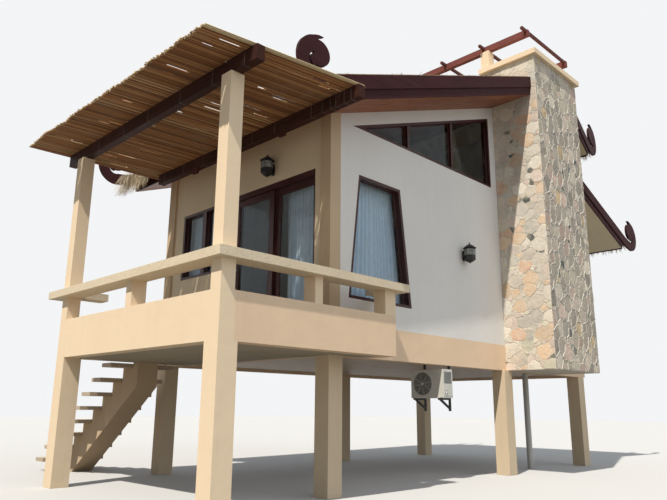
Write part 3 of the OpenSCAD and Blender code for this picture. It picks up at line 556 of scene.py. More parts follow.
def slope_strands(s, sides, y_low, y_high, soffit, rise, sign, skip=None):
    """Courses of strands on one slope, from its eave up."""
    course, pitch = 0.13, 0.0165
    c, down, out = slope_axes(rise, sign)
    n = int((DECK_X1 - DECK_X0) / pitch)
    for k in range(int(abs(y_high - y_low) / c / course)):
        across = np.clip(np.linspace(0, 1, n) + uniform(-0.6, 0.6, n) / n, 0, 1)
        tip = (k + 0.05) * course + uniform(-0.35, 0.35, n) * course
        length = uniform(0.26, 0.40, n)
        y = y_low - sign * (tip + length) * c
        x0, x1 = sides(y_low - sign * tip * c)
        x = x0 + 0.012 + across * (x1 - x0 - 0.024)
        keep = (y - y_high) * sign > 0.0
        if skip is not None:
            keep &= ~skip(x, y) & ~skip(x, y + sign * length * c)
        x, y, length = x[keep], y[keep], length[keep]
        near = np.minimum(1.0, (np.minimum(x - x0[keep], x1[keep] - x) + 0.02) / 0.25)
        m = len(x)
        if m:
            root = xyz(x, y, soffit(y) + THATCH_TOP) + out * uniform(-0.012, 0.006, (m, 1))
            sizes = (0.008, 0.020), (0.018, 0.055), 0.018, 0.10
            strands(s, root, down, out, ALONG_X, length, *sizes, near)


def eave_fringe(s, x0, x1, y_edge, soffit, sign, rows, pitch, drop, low_z=0.0):
    """Tufts that arch out over an eave and hang down, in layers from the top to the underside."""
    n = int((x1 - x0) / pitch)
    for k in range(rows):
        x = np.clip(np.linspace(x0, x1, n) + uniform(-0.8, 0.8, n) * pitch, x0, x1)
        f = (k + uniform(0, 1, n)) / rows
        tuft = 0.5 + 0.5 * np.sin(x * 23 + 2.0 * np.sin(x * 7.3) + 0.7 * k)
        y = y_edge - sign * uniform(0.00, 0.14, n) * (1 - f)
        root = xyz(x, y, soffit(y) + THATCH_TOP - (THATCH_TOP - DECK - 0.03) * f - 0.012)
        length = uniform(0.65, 1.0, n) * np.interp(x, (x0, x1), drop) * (0.8 + 0.3 * tuft)
        first = 0.15 + 0.5 * f + uniform(-0.15, 0.25, n)
        last = uniform(1.15, 1.65, n)
        turn = np.minimum(1, np.linspace(0, 1, 5)[None, :] * 1.25)
        angle = first[:, None] + (last - first)[:, None] * turn
        lean = rng.normal(0, 0.16, n) + 0.25 * (tuft - 0.5)
        step = (length / 4)[:, None]
        dy, dz = (np.cumsum(q, 1) - q for q in (step * np.cos(angle), step * np.sin(angle)))
        z = np.maximum(root[:, 2:] - dz, low_z)
        mid = np.stack([root[:, :1] + lean[:, None] * dz, root[:, 1:2] + sign * dy, z], 2)
        blades(s, mid, ALONG_X, uniform(0.007, 0.017, n))


def side_fringe(s, sides, sign, y0, y1, soffit):
    """Few short ends that show over a rake board's top."""
    pitch = 0.012
    n = int(abs(y1 - y0) / pitch)
    y = np.clip(np.linspace(y0, y1, n) + uniform(-1, 1, n) * pitch, y0, y1)
    edge = sides(y)[(sign + 1) // 2]
    keep = np.sin(y * 5.1) + np.sin(y * 13.7 + 1.0) + rng.normal(0, 0.5, n) > 0.35
    y, edge = y[keep], edge[keep]
    n = len(y)
    root = xyz(edge - sign * uniform(0.03, 0.12, n), y, soffit(y) + THATCH_TOP - 0.014)
    down = xyz(float(sign), rng.normal(0, 0.8, n), uniform(-0.06, 0.24, n))
    down /= norm(down, axis=1)[:, None]
    length = uniform(0.05, 0.13, n)
    strands(s, root, down, UP, ALONG_Y, length, (0.006, 0.014), (0.0, 0.02), 0.02, 0.2)


def ridge_roll(s, x1):
    """Strands bent over the ridge to both sides."""
    top = front_soffit(RIDGE_Y) + THATCH_TOP
    for sign, rise in ((-1, FRONT_RISE), (1, REAR_RISE)):
        _, down, out = slope_axes(rise, sign)
        x0 = upper_sides(np.array([RIDGE_Y + sign * 0.44]))[0][0] + 0.012
        n = int((x1 - x0) / 0.012)
        for row in range(3):
            x = np.clip(np.linspace(x0, x1, n) + uniform(-0.01, 0.01, n), x0, x1)
            root = xyz(x, RIDGE_Y - sign * 0.02, top + 0.012 + 0.012 * row)
            length = uniform(0.30, 0.44, n)
            strands(s, root, down, out, ALONG_X, length, (0.010, 0.022), (0.02, 0.05), 0.03, 0.06)


# For each slope: its sides, eave, top, underside, rise, the way it falls, where it stops for the
# pylon, its eave's fringe (layers, pitch, drop left and right, lowest point), and where the straw
# along its left and right rakes starts and ends.
SLOPES = {
    "front": (upper_sides, EAVE_Y, RIDGE_Y, front_soffit, FRONT_RISE, -1, at_pylon,
              (7, 0.010, (0.30, 0.30), 3.272), (EAVE_Y - 0.05, RIDGE_Y), (EAVE_Y - 0.05, NOTCH_Y - 0.1)),
    "rear": (upper_sides, REAR_Y, RIDGE_Y, rear_soffit, REAR_RISE, 1, at_pylon,
             (6, 0.011, (0.26, 0.26)), (RIDGE_Y, REAR_Y + 0.05), (8.28, REAR_Y + 0.05)),
    "lower": (lower_sides, LOWER_Y, LOWER_TOP_Y, lower_soffit, LOWER_RISE, 1, None,
              (6, 0.011, (0.26, 0.26)), *[(LOWER_TOP_Y, LOWER_Y + 0.05)] * 2),
}


def thatch():
    """The straw on each slope: its courses, the eave's fringe and the ends along the rakes."""
    x0, x1 = DECK_X0 + 0.012, DECK_X1 - 0.012
    for name, (sides, eave, top, soffit, rise, sign, skip, fringe, left, right) in SLOPES.items():
        s = Shape()
        edge = eave + sign * 0.06
        slope_strands(s, sides, edge + sign * 0.01, top, soffit, rise, sign, skip)
        eave_fringe(s, x0, x1, edge, soffit, sign, *fringe)
        if name == "front":  # long tufts at the left corner, which show under the reed cover
            eave_fringe(s, x0, x0 + 0.75, edge, soffit, sign, 6, 0.0065, (0.74, 0.34), 3.05)
        side_fringe(s, sides, -1, *left, soffit)
        side_fringe(s, sides, 1, *right, soffit)
        if name == "rear":
            ridge_roll(s, -0.76)
        s.make(name + "_thatch_strands", "straw_strand", name + "_thatch")


# ---- reed cover over the terrace

# Cane tones: partly the canes' own brown, partly painted shade, darkened for the mat's underside, which lies
# in shade.
CANES = np.array([
    (0.31, 0.142, 0.058), (0.23, 0.100, 0.042), (0.40, 0.195, 0.082),
    (0.165, 0.073, 0.033), (0.48, 0.26, 0.115),
])
# A straw colour for canes that catch the sun: painted light on the cut ends, on the last canes at the right
# edge and on a share of canes at random.
SUNLIT_CANE = np.array([0.78, 0.62, 0.38])
CROSS_CANES = (-0.45, 0.02, 0.50, 1.00, 1.48)
MAT_Z, MAT_LAYERS = 3.220, (0.0095, 0.0255)
MAT_FRONT = np.array([(-4.460, -0.610), (0.275, -0.590)])  # left and right corner
MAT_BACK = np.array([(-4.330, 1.620), (0.590, 1.620)])
CANE_PITCH, CANE_SIDES, MISSING, PALE_SHARE = 0.0138, 5, 0.045, 0.035


def cane(s, a, b, z, r, tone, span):
    """A thin cane from a to b, or the part of it in the span, tapered and slightly crooked."""
    rows = np.array([0, 0.005, 0.3, 0.6, 0.995, 1])
    along = (span[0] + (span[1] - span[0]) * rows)[:, None]
    sway = rng.normal(0, 0.0016, len(rows))
    sway[[0, 1, -2, -1]] = 0
    u = unit(b - a)
    normal = np.array([-u[1], u[0]])
    mid = a + along * (b - a) + sway[:, None] * normal
    spin = np.arange(CANE_SIDES) * 2 * math.pi / CANE_SIDES
    taper = r * (1.08 - 0.22 * along)
    points = np.empty((len(rows), CANE_SIDES, 3))
    points[..., :2] = mid[:, None, :] + (taper * np.cos(spin))[..., None] * normal
    points[..., 2] = z + taper * np.sin(spin)
    tint = np.broadcast_to(tone, points.shape).copy()
    # The cut ends take the sunlit cane colour: painted light.
    tint[0] = tint[-1] = SUNLIT_CANE
    s.rings(points, tint.reshape(-1, 3))


def canes():
    """Two layers of canes from front to back, tied to cross canes, with uneven cut ends."""
    s = Shape()
    panel = uniform(0, 0.035, 24)
    slits = [(uniform(0.03, 0.97), uniform(0.05, 0.82), uniform(0.05, 0.17)) for _ in range(52)]
    wide = norm(MAT_BACK[1] - MAT_BACK[0])
    n = int(wide / CANE_PITCH)
    for layer, level in enumerate(MAT_LAYERS):
        for i in range(n):
            if rng.random() < MISSING:
                continue
            f = (i + 0.5 + 0.5 * layer) / (n + 1)
            a, b = (line[0] + f * (line[1] - line[0]) for line in (MAT_FRONT, MAT_BACK))
            u = unit(b - a)
            wave = 0.012 * math.sin(f * 31) + panel[int(f * 23.99)]
            a = a + u * max(0.0, wave + uniform(-0.004, 0.028))
            b = b - u * uniform(0.0, 0.02)
            r = uniform(0.0058, 0.0078)
            z = MAT_Z + level + uniform(-0.0012, 0.0016)
            reach = 0.011 + 0.012 * layer
            cuts = [(at, at + run) for g, at, run in slits if abs((f - g) * wide + 0.014 * layer) < reach]
            tone = CANES[rng.integers(0, len(CANES))] * uniform(0.75, 1.25)
            # A few canes at random, and the last ones at the right edge, take the sunlit colour: painted
            # light.
            if rng.random() < PALE_SHARE or i > n - 4:
                tone = SUNLIT_CANE * uniform(0.8, 1.0)
            for span in [(0.0, cuts[0][0]), (cuts[0][1], 1.0)] if cuts else [(0.0, 1.0)]:
                cane(s, a, b, z, r, tone, span)
    for y in CROSS_CANES:
        f = (y + 0.6) / 2.22
        for off in (-0.012, 0.012):
            x = np.linspace(-4.44 + 0.13 * f, 0.25 + 0.31 * f, 24)
            path = xyz(x, y + off + rng.normal(0, 0.002, 24), MAT_Z + 0.038)
            s.tube(path, 0.0062, 6, (0.66, 0.52, 0.33))
        for x in np.arange(-4.30, 0.22 + 0.31 * f, 0.17):
            x += uniform(-0.02, 0.02)
            tie = circle((x, y, MAT_Z + 0.0225), 0.026 * ALONG_Y, 0.0205 * UP, 1.0, 8)
            s.tube(tie, 0.0013, 4, (0.10, 0.08, 0.06), closed=True)
    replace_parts(s.make("reed_canes", "reed_cane", "reed_cover", smooth=True), "reed_cover")


# ---- stone facing

# Each row is how often a stone has the tone, and the tone. The side faces' tones run darker than the sunny
# front's: partly the stones' own colour, partly painted shade.
PALE = np.array([
    (0.17, 0.72, 0.66, 0.56), (0.16, 0.68, 0.61, 0.52), (0.16, 0.72, 0.60, 0.52), (0.12, 0.78, 0.58, 0.40),
    (0.12, 0.70, 0.66, 0.52), (0.10, 0.58, 0.55, 0.48), (0.11, 0.80, 0.74, 0.64), (0.06, 0.72, 0.48, 0.34),
])
COOL_SHADED_TONES = np.array([
    (0.20, 0.50, 0.43, 0.36), (0.18, 0.62, 0.53, 0.43), (0.14, 0.38, 0.34, 0.29), (0.12, 0.66, 0.50, 0.41),
    (0.12, 0.42, 0.38, 0.31), (0.10, 0.70, 0.62, 0.51), (0.10, 0.52, 0.47, 0.36), (0.04, 0.62, 0.47, 0.28),
])
DARK_STONE = np.array([(0.10, 0.11, 0.10), (0.17, 0.17, 0.15)])

# tall: height of a stone to its width; small, large: radii; bend: waves of the joints;
# proud, bead_w, bead_h, gap: relief of stone and mortar; spread: of tones; dark, filled: shares.
SUNNY_FACE = SimpleNamespace(
    tall=0.85, small=0.028, large=0.160, bend=0.014, proud=0.009, bead_w=0.015, bead_h=0.0070,
    gap=0.0030, tones=PALE, spread=(0.80, 1.08), dark=0.09, filled=0.66, joint=np.array([0.72, 0.66, 0.56]),
)
# The side faces' darker joints: partly the mortar's own colour, partly painted shade.
SIDE_FACE = SimpleNamespace(
    tall=1.35, small=0.030, large=0.125, bend=0.012, proud=0.010, bead_w=0.028, bead_h=0.0115,
    gap=0.008, tones=COOL_SHADED_TONES, spread=(0.74, 1.22), dark=0.12, filled=0.94, joint=np.array([0.66, 0.61, 0.53]),
)


def clip(poly, labels, point, normal, label):
    """Cuts a convex outline by a line; each edge keeps the label of the line that made it."""
    out, names = [], []
    n = len(poly)
    d = [(p[0] - point[0]) * normal[0] + (p[1] - point[1]) * normal[1] for p in poly]
    for i in range(n):
        j = (i + 1) % n
        if d[i] <= 0:
            out.append(poly[i])
            names.append(labels[i])
        if (d[i] <= 0) != (d[j] <= 0):
            t = d[i] / (d[i] - d[j])
            out.append(tuple(p + t * (q - p) for p, q in zip(poly[i], poly[j])))
            names.append(label if d[i] <= 0 else labels[i])
    return out, names


def dense(points, step, closed):
    """Points added along an outline or line, none further apart than step."""
    p = np.asarray(points, float)
    out = []
    for k in range(len(p) if closed else len(p) - 1):
        a, b = p[k], p[(k + 1) % len(p)]
        n = max(1, math.ceil(norm(b - a) / step))
        out.append(a + (b - a) * (np.arange(n) / n)[:, None])
    if not closed:
        out.append(p[-1:])
    return np.vstack(out)


def scatter(wide, high, small, large):
    """Seeds of mixed sizes, the large ones first, none too near another."""
    spots, sizes = np.zeros((0, 2)), np.zeros(0)
    for r in np.sort(small + (large - small) * rng.random(5000) ** 2.2)[::-1]:
        q = np.array([uniform(0, wide), uniform(0, high)])
        if len(sizes) and np.any(norm(spots - q, axis=1) < 0.80 * (sizes + r)):
            continue
        spots, sizes = np.vstack([spots, q]), np.append(sizes, r)
    return spots, sizes


def cells(wide, high, seeds, sizes, large, gap):
    """For each seed its cell, the labels of the cell's edges, and the stone's outline in it."""
    rim = [(0.0, 0.0), (wide, 0.0), (wide, high), (0.0, high)]
    whole = rim
    for px, py, nx, ny in ((0, 0, -1, 0), (wide, 0, 1, 0), (0, 0, 0, -1), (0, high, 0, 1)):
        whole, _ = clip(whole, [-1] * len(whole), (px - nx * gap * 0.6, py - ny * gap * 0.6), (nx, ny), -1)
    for i, seed in enumerate(seeds):
        away = norm(seeds - seed, axis=1)
        cell, names, body = rim, [-1] * 4, whole
        for j in np.argsort(away):
            if j == i or away[j] >= 5 * large:
                continue
            normal = (seeds[j] - seed) / away[j]
            m = seed + normal * (away[j] / 2 + 0.45 * (sizes[i] ** 2 - sizes[j] ** 2) / away[j])
            cell, names = clip(cell, names, m, normal, j)
            body, _ = clip(body, [-1] * len(body), m - normal * gap, normal, j)
            if len(cell) < 3 or len(body) < 3:
                break
        yield cell, names, body


def stone(s, ring, size, look, lift):
    """A flat stone with worn edges and a slightly uneven face, from its outline on the wall."""
    middle = ring.mean(0)
    ring = middle + (ring - middle) * (1 + rng.normal(0, 0.016, (len(ring), 1)))
    n = len(ring)
    top = look.proud * uniform(0.5, 1.1)
    slope = rng.normal(0, 0.030, (2, 2))
    points = []
    for shrink, h in ((1.0, -0.004), (0.975, 0.6 * top), (0.90, top), (0.50, top), (0.0, top)):
        flat = middle + (ring - middle) * shrink if shrink else middle[None]
        faceted = np.clip(np.min((flat - middle) @ slope, 1), -0.005, 0.003)
        wavy = 0.0010 * np.sin(71 * flat[:, 0] + 17 * flat[:, 1]) * np.sin(64 * flat[:, 1] - 13 * flat[:, 0])
        points.append(lift(flat, h + (faceted + wavy) * (h > 0)))
    k = np.arange(n)
    fan = xyz(k + 3 * n, (k + 1) % n + 3 * n, 4 * n)
    odds = look.tones[:, 0] / sum(look.tones[:, 0])
    tone = look.tones[rng.choice(len(odds), p=odds), 1:] * uniform(*look.spread)
    if rng.random() < look.dark and size < 0.6 * look.large:
        tone = DARK_STONE[rng.integers(0, 2)]
    s.add(np.vstack(points), [bands(n, ((0, 1), (1, 2), (2, 3))), fan], tone)


def bead(s, line, limit, look, lift):
    """A raised run of mortar along a joint."""
    t = np.gradient(line, axis=0)
    long = norm(t, axis=1)
    if long.min() < 1e-5:
        return
    normal = xyz(-t[:, 1], t[:, 0]) / long[:, None]
    parts = len(line)
    line = line + (rng.normal(0, 0.0016, parts))[:, None] * normal
    grow = uniform(0.7, 1.25, parts)
    high = look.bead_h
    rows = []
    for across, up in ((-0.5, -0.004), (-0.26, 0.85 * high), (0.0, high), (0.26, 0.85 * high), (0.5, -0.004)):
        at = np.clip(line + (across * look.bead_w * grow)[:, None] * normal, [0.0, 0.0], limit)
        rows.append(lift(at, up * np.where(up > 0, grow, 1)))
    s.add(np.vstack(rows), [np.roll(grid(5, parts), -1, 1)], look.joint * uniform(0.88, 1.06))


def facing(stones, beads, origin, u, v, wide, high, look):
    """Irregular flat stones with mortar between them, on one rectangular face."""
    w = np.cross(u, v)
    tall, bend = look.tall, look.bend
    seeds, sizes = scatter(wide, high / tall, look.small, look.large)
    shift = uniform(0, 6.28, 6)

    def spot(p2):
        """From the even cells to the wall's own wavy layout, the rim left straight."""
        x, y = p2[:, 0], p2[:, 1] * tall
        dx = bend * np.sin(15 * y + 2.2 * np.sin(9 * x + shift[0]) + shift[1])
        dx = dx + 0.5 * bend * np.sin(43 * y + 31 * x + shift[2])
        dy = bend * np.sin(17 * x + 2.2 * np.sin(8 * y + shift[3]) + shift[4])
        dy = dy + 0.5 * bend * np.sin(39 * x - 37 * y + shift[5])
        dx *= np.clip(np.minimum(x, wide - x) / 0.05, 0, 1)
        dy *= np.clip(np.minimum(y, high - y) / 0.05, 0, 1)
        return xyz(x + dx, y + dy)

    def lift(flat, h):
        return origin + flat[:, :1] * u + flat[:, 1:2] * v + np.asarray(h).reshape(-1, 1) * w

    for i, (cell, names, body) in enumerate(cells(wide, high / tall, seeds, sizes, look.large, look.gap)):
        if len(cell) < 3:
            continue
        if len(body) >= 3:
            ring = dense(body, 0.022, True)
            ring = 0.5 * ring + 0.25 * (np.roll(ring, 1, 0) + np.roll(ring, -1, 0))
            stone(stones, spot(ring), sizes[i], look, lift)
        for a, j in enumerate(names):
            if j >= i and rng.random() <= look.filled:
                line = dense([cell[a], cell[(a + 1) % len(cell)]], 0.032, False)
                bead(beads, spot(line), [wide, high], look, lift)


def pylon_stones():
    (x_in, y0, _), (x1, y1, top) = box_of("stone_pylon")
    wide = x1 - WALL_X
    pale, stones, beads = Shape(), Shape(), Shape()
    facing(pale, beads, (WALL_X, y0, 0), ALONG_X, UP, wide, top, SUNNY_FACE)
    above = front_soffit(y0) + THATCH_TOP - 0.02
    facing(pale, beads, (x_in, y0, above), ALONG_X, UP, WALL_X - x_in, top - above, SUNNY_FACE)
    facing(stones, beads, (x1, y0, 0), ALONG_Y, UP, y1 - y0, top, SIDE_FACE)
    facing(stones, beads, (x1, y1, 0), -ALONG_X, UP, wide, top, SIDE_FACE)
    pale.make("pylon_front_stones", "pale_stone_face", "stone_pylon")
    stones.make("pylon_stones", "stone_face", "stone_pylon")
    beads.make("pylon_mortar", "mortar", "stone_pylon", smooth=True)


# ---- curtains

# curtain, pleats, seed, rings, rod height, and how far in its heading and rings start and end
CURTAINS = (
    ("door_curtain", 11, 3, 12, 2.720, (0, 0), (0, 0)),
    ("front_curtain", 17, 5, 18, 2.720, (0, 0), (0, 0)),
    ("side_curtain", 15, 9, 14, 2.740, (0.191, 0.210), (0.16, 0.18)),
)


def curtain(node, a, b, top_z, hem_z, pleats, seed, heading):
    """A gathered curtain between points a and b: deep soft pleats that open towards the hem."""
    g = np.random.default_rng(seed)
    wide = norm(b - a)
    u = (b - a) / wide
    n = np.array([-u[1], u[0], 0.0])
    cols, rows, depth = pleats * 10 + 1, 26, 0.030
    s = np.linspace(0, 1, cols)
    phase = g.uniform(0, 6.28, 3)
    knots = np.cumsum(g.uniform(0.7, 1.3, pleats + 1))
    knots = (knots - knots[0]) / (knots[-1] - knots[0]) * pleats
    turn = np.interp(s, np.linspace(0, 1, pleats + 1), knots) * 2 * math.pi
    points = np.zeros((rows, cols, 3))
    for r, f in enumerate(np.linspace(0, 1, rows)):
        deep = depth * (0.42 + 0.58 * min(1, f * 2.2)) * (0.85 + 0.25 * np.sin(s * 9 + phase[0]))
        drift = 0.5 * f * np.sin(s * 4.2 + phase[1]) + 0.25 * np.sin(2.2 * f + phase[2])
        swing = np.sin(turn + drift) + 0.28 * np.sin(2 * turn + 1.1 + 0.7 * f)
        start, end = (1 - f) * heading[0], wide - (1 - f) * heading[1]
        along = start + (end - start) * ((s * wide + 0.010 * np.cos(turn + drift) * f) / wide)
        along = np.clip(along, 0, wide)
        points[r] = a + along[:, None] * u + (deep * swing * 0.72)[:, None] * n
        points[r, :, 2] = top_z + (hem_z - top_z) * f
    points[-1, :, 2] += 0.004 * np.sin(turn * 0.5)
    shape = Shape()
    shape.add(points, [grid(rows, cols)])
    o = shape.make(node + "_cloth", "curtain_cloth", node, smooth=True)
    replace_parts(o, node)
    e1, e2 = points[1:, 1:] - points[:-1, :-1], points[1:, :-1] - points[:-1, 1:]
    area = 0.5 * norm(np.cross(e1, e2), axis=2).sum()


def curtains():
    """The curtains, with small rings from the rod to each heading."""
    for node, pleats, seed, count, rod_z, heading, inward in CURTAINS:
        lo, hi = box_of(node)
        axis = X if hi[0] - lo[0] > hi[1] - lo[1] else Y
        a = (lo + hi) / 2 * (1, 1, 0)
        b = a.copy()
        a[axis], b[axis] = lo[axis], hi[axis]
        curtain(node, a, b, hi[2] + 0.002, lo[2], pleats, seed, heading)
        s = Shape()
        a[axis] += inward[0]
        b[axis] -= inward[1]
        u = unit(b - a)
        n = np.array([-u[1], u[0], 0.0])
        for f in np.linspace(0.02, 0.98, count):
            s.tube(circle(a + f * (b - a) + rod_z * UP, n, UP, 0.019, 14), 0.0022, 6, closed=True)
        s.make(node + "_rings", "black_iron", "curtain_rods", smooth=True)


# ---- lanterns

# Outlines turned about the lantern's axis: radius and height, and how many sides.
SKIRT, HEAD = 0.078, 0.203
CASTINGS = (
    (6, ((0.010, -0.042), (0.030, -0.040), (0.056, -0.026), (0.080, -0.008), (0.091, 0.004), (0.091, SKIRT),
         (0.084, SKIRT + 0.004))),
    (6, ((0.084, 0.200), (0.116, HEAD), (0.1175, 0.210), (0.088, 0.231), (0.062, 0.252), (0.046, 0.263),
         (0.014, 0.265))),
    (10, ((0.012, 0.262), (0.007, 0.270), (0.012, 0.280), (0.014, 0.288), (0.009, 0.297), (0.003, 0.312))),
    (10, ((0.009, -0.040), (0.013, -0.047), (0.006, -0.055), (0.002, -0.058))),
)
BULB = ((0.013, 0.090), (0.024, 0.112), (0.026, 0.132), (0.018, 0.156), (0.004, 0.166))


def lantern(node, c, out):
    """A six-sided wall lantern: glass over a closed skirt, a hipped roof, a cup, an arm and a plate."""
    iron, panes, bulb = Shape(), Shape(), Shape()
    side = np.array([-out[1], out[0], 0.0])

    def ring(r, h, n=6):
        return circle(c, side, out, r, n) + h * UP

    foot, low, high = (ring(0.090, h) for h in (0.006, SKIRT, HEAD - 0.012))
    for k in range(6):
        m = (k + 1) % 6
        sill, head = (low[k] + low[m]) / 2, (high[k] + high[m]) / 2
        cross = [(low[i] + 2 * high[i]) / 3 for i in (k, m)]
        bars = [foot[k], high[k] + 0.012 * UP], [low[k], low[m]], [high[k], high[m]], [sill, head], cross
        for bar, r in zip(bars, (0.0052, 0.0050, 0.0055, 0.0026, 0.0024)):
            iron.tube(bar, r, 6)
        inward = (c - sill) * (1, 1, 0)
        panes.prism([low[k], low[m], high[m], high[k]], 0.003 * inward / norm(inward))
    for sides, outline in CASTINGS:
        iron.rings([ring(r, h, sides) for r, h in outline])
    wall = c - out * 0.130
    arm = [c - out * 0.06 + UP * 0.054, c - out * 0.10 + UP * 0.050, wall + out * 0.010 + UP * 0.054]
    iron.tube(arm, 0.010, 10)
    q = np.linspace(0, 2 * math.pi, 14)[:, None]
    iron.tube(wall + out * (0.045 + 0.020 * np.cos(q)) + UP * (0.022 + 0.020 * np.sin(q)), 0.0035, 6)
    a = np.arange(28)[:, None] * math.pi / 14
    plate = wall + out * 0.013 + side * (0.034 * np.sign(np.cos(a)) * np.abs(np.cos(a)) ** 0.6)
    iron.prism(plate + UP * (0.090 + 0.089 * np.sin(a)), -out * 0.013)
    for h in (0.020, 0.160):
        iron.rod(wall + out * 0.012 + UP * h, out * 0.006, 0.006, 8)
    iron.rod(c + UP * 0.02, UP * 0.072, 0.012, 10)
    bulb.rings([ring(r, h, 12) for r, h in BULB])
    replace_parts(iron.make(node + "_iron", "black_iron", node), node)
    panes.make(node + "_panes", "lantern_glass", node)
    bulb.make(node + "_bulb", "unit_case", node, smooth=True)


# ---- outdoor unit and fittings


def unit_parts():
    """Grille, fan, trims, valves and fins of the air unit."""
    (x0, y, z0), (x1, y1, z1) = box_of("outdoor_unit")
    hub = np.array([-0.900, y, (z0 + z1) / 2])
    grille, fan, trim, valves, fins = (Shape() for _ in range(5))

    def dish(r):
        return 0.010 * (r / 0.186) ** 2

    def at(r, a, deep):
        return hub + (r * math.cos(a), deep, r * math.sin(a))

    for r in np.linspace(0.022, 0.186, 15):
        grille.tube(circle(hub + ALONG_Y * (dish(r) - 0.006), ALONG_X, UP, r, 48), 0.0017, 4, closed=True)
    for k in range(8):
        ray = [at(r, k * math.pi / 4 + 0.2, dish(r) - 0.008) for r in np.linspace(0.01, 0.188, 6)]
        grille.tube(ray, 0.0026, 6)
    grille.rod(hub - 0.012 * ALONG_Y, 0.016 * ALONG_Y, 0.022, 20)
    fan.rod(hub + 0.021 * ALONG_Y, -0.015 * ALONG_Y, 0.045, 24)
    for k in range(3):
        blade = [
            at(r, k * 2 * math.pi / 3 + (q - 0.5) * (1.35 - 2.2 * r) + 2.0 * r, 0.008 + 0.013 * q)
            for r in np.linspace(0.035, 0.168, 8) for q in np.linspace(0, 1, 7)
        ]
        fan.add(blade, [grid(8, 7)])
    fan.add(circle(hub + 0.0235 * ALONG_Y, ALONG_X, UP, 0.179, 40), [np.arange(40)])

    trim.box((x1 - 0.012, y + 0.006, z0 + 0.03), (x1 + 0.004, y1 - 0.006, z0 + 0.20))
    for z in (z1 - 0.030, z0 + 0.006):
        trim.box((x0 + 0.006, y - 0.004, z), (x1 - 0.006, y + 0.002, z + 0.024))
    for x in (x0 + 0.07, x1 - 0.115):
        trim.box((x, y - 0.008, z0 - 0.001), (x + 0.05, y1 + 0.004, z0 + 0.012))
    for z, r in ((z0 + 0.075, 0.012), (z0 + 0.130, 0.010)):
        valves.rod((x1 - 0.002, y + 0.055, z), 0.032 * ALONG_X, r, 12)
        valves.rod((x1 + 0.018, y + 0.055, z), 0.024 * UP, 0.008, 10)
    for z in z0 + 0.225 + np.arange(18) * 0.010:
        fins.box((x1 - 0.002, y + 0.03, z), (x1 + 0.0025, y1 - 0.03, z + 0.0045))
    for z in z0 + 0.03 + np.arange(60) * 0.0064:
        fins.box((x0 + 0.03, y1 - 0.003, z), (x1 - 0.05, y1 + 0.0012, z + 0.0016))
    for name, s, look, smooth in (
        ("grille", grille, "unit_case", True), ("fan", fan, "fan_black", True),
        ("trim", trim, "unit_case", False), ("valves", valves, "brushed_steel", True),
        ("fins", fins, "fan_black", False),
    ):
        s.make("unit_" + name, look, "outdoor_unit", smooth=smooth)


def inset(poly, d):
    """A convex outline, counter-clockwise, drawn in by d on every side."""
    p = np.asarray(poly, float)
    e = np.roll(p, -1, 0) - p
    e /= norm(e, axis=1)[:, None]
    p = p + d * np.stack([-e[:, 1], e[:, 0]], 1)
    out = []
    for k in range(len(p)):
        j = k - 1
        turn = e[j, 0] * e[k, 1] - e[j, 1] * e[k, 0]
        shift = p[k] - p[j]
        out.append(p[j] + (shift[0] * e[k, 1] - shift[1] * e[k, 0]) / turn * e[j])
    return np.array(out)


def rectangle(x0, z0, x1, z1):
    return [(x0, z0), (x1, z0), (x1, z1), (x0, z1)]


def on_wall(axis, at, sign=1):
    """Maps outlines on a wall square to the axis to 3-D, raised by a height."""

    def onto(q, h):
        flat = at + sign * h
        return xyz(flat, q[:, 0], q[:, 1]) if axis == X else xyz(q[:, 0], flat, q[:, 1])

    return onto


def moulding(s, poly, onto):
    """A mitred glazing bead round an opening."""
    profile = ((0.0, 0.0), (0.0, 0.012), (0.005, 0.013), (0.011, 0.008), (0.014, 0.0))
    s.rings([onto(inset(poly, d), h) for d, h in profile], closed=True)


def door_parts():
    """Pull, lock and glazing beads of the leaves, tracks in the frame."""
    x, y, _ = box_of("sliding_leaf")[0]
    x, z = x + 0.030, 1.28
    pull, lock, track = Shape(), Shape(), Shape()
    for h in (-0.15, 0.15):
        pull.rod((x, y + 0.001, z + h), -0.035 * ALONG_Y, 0.008, 10)
        pull.rod((x, y, z + h), -0.004 * ALONG_Y, 0.016, 14)
    bar = [(x, y - 0.036, z + h) for h in (-0.19, -0.186, 0.186, 0.19)]
    pull.tube(bar, [0.007, 0.011, 0.011, 0.007], 12)
    plate = np.array(rectangle(x - 0.017, z - 0.30, x + 0.017, z - 0.20))
    lock.prism(on_wall(Y, y)(plate, 0), -0.005 * ALONG_Y)
    lock.rod((x, y - 0.004, z - 0.235), -0.008 * ALONG_Y, 0.010, 14)
    pull.make("door_pull", "brushed_steel", "sliding_leaf", "sliding_leaf", True)
    lock.make("door_lock", "brushed_steel", "sliding_leaf", "sliding_leaf")
    left, right = (end[0] for end in box_of("door_frame"))
    for node, body in (("sliding_leaf", "sliding_leaf"), ("fixed_leaf", "house")):
        beads = Shape()
        a, b = box_of(node + "_glass")
        for face, sign in ((a[1], -1), (b[1], 1)):
            moulding(beads, rectangle(a[0], a[2], b[0], b[2]), on_wall(Y, face, sign))
        beads.make(node + "_beads", "mahogany_frame", node, body)
        lo, hi = box_of(node)
        mid = (lo[1] + hi[1]) / 2
        track.box((left + 0.026, mid - 0.006, 0.2635), (right - 0.026, mid + 0.006, 0.2645))
    track.make("door_track", "brushed_steel", "door_frame")


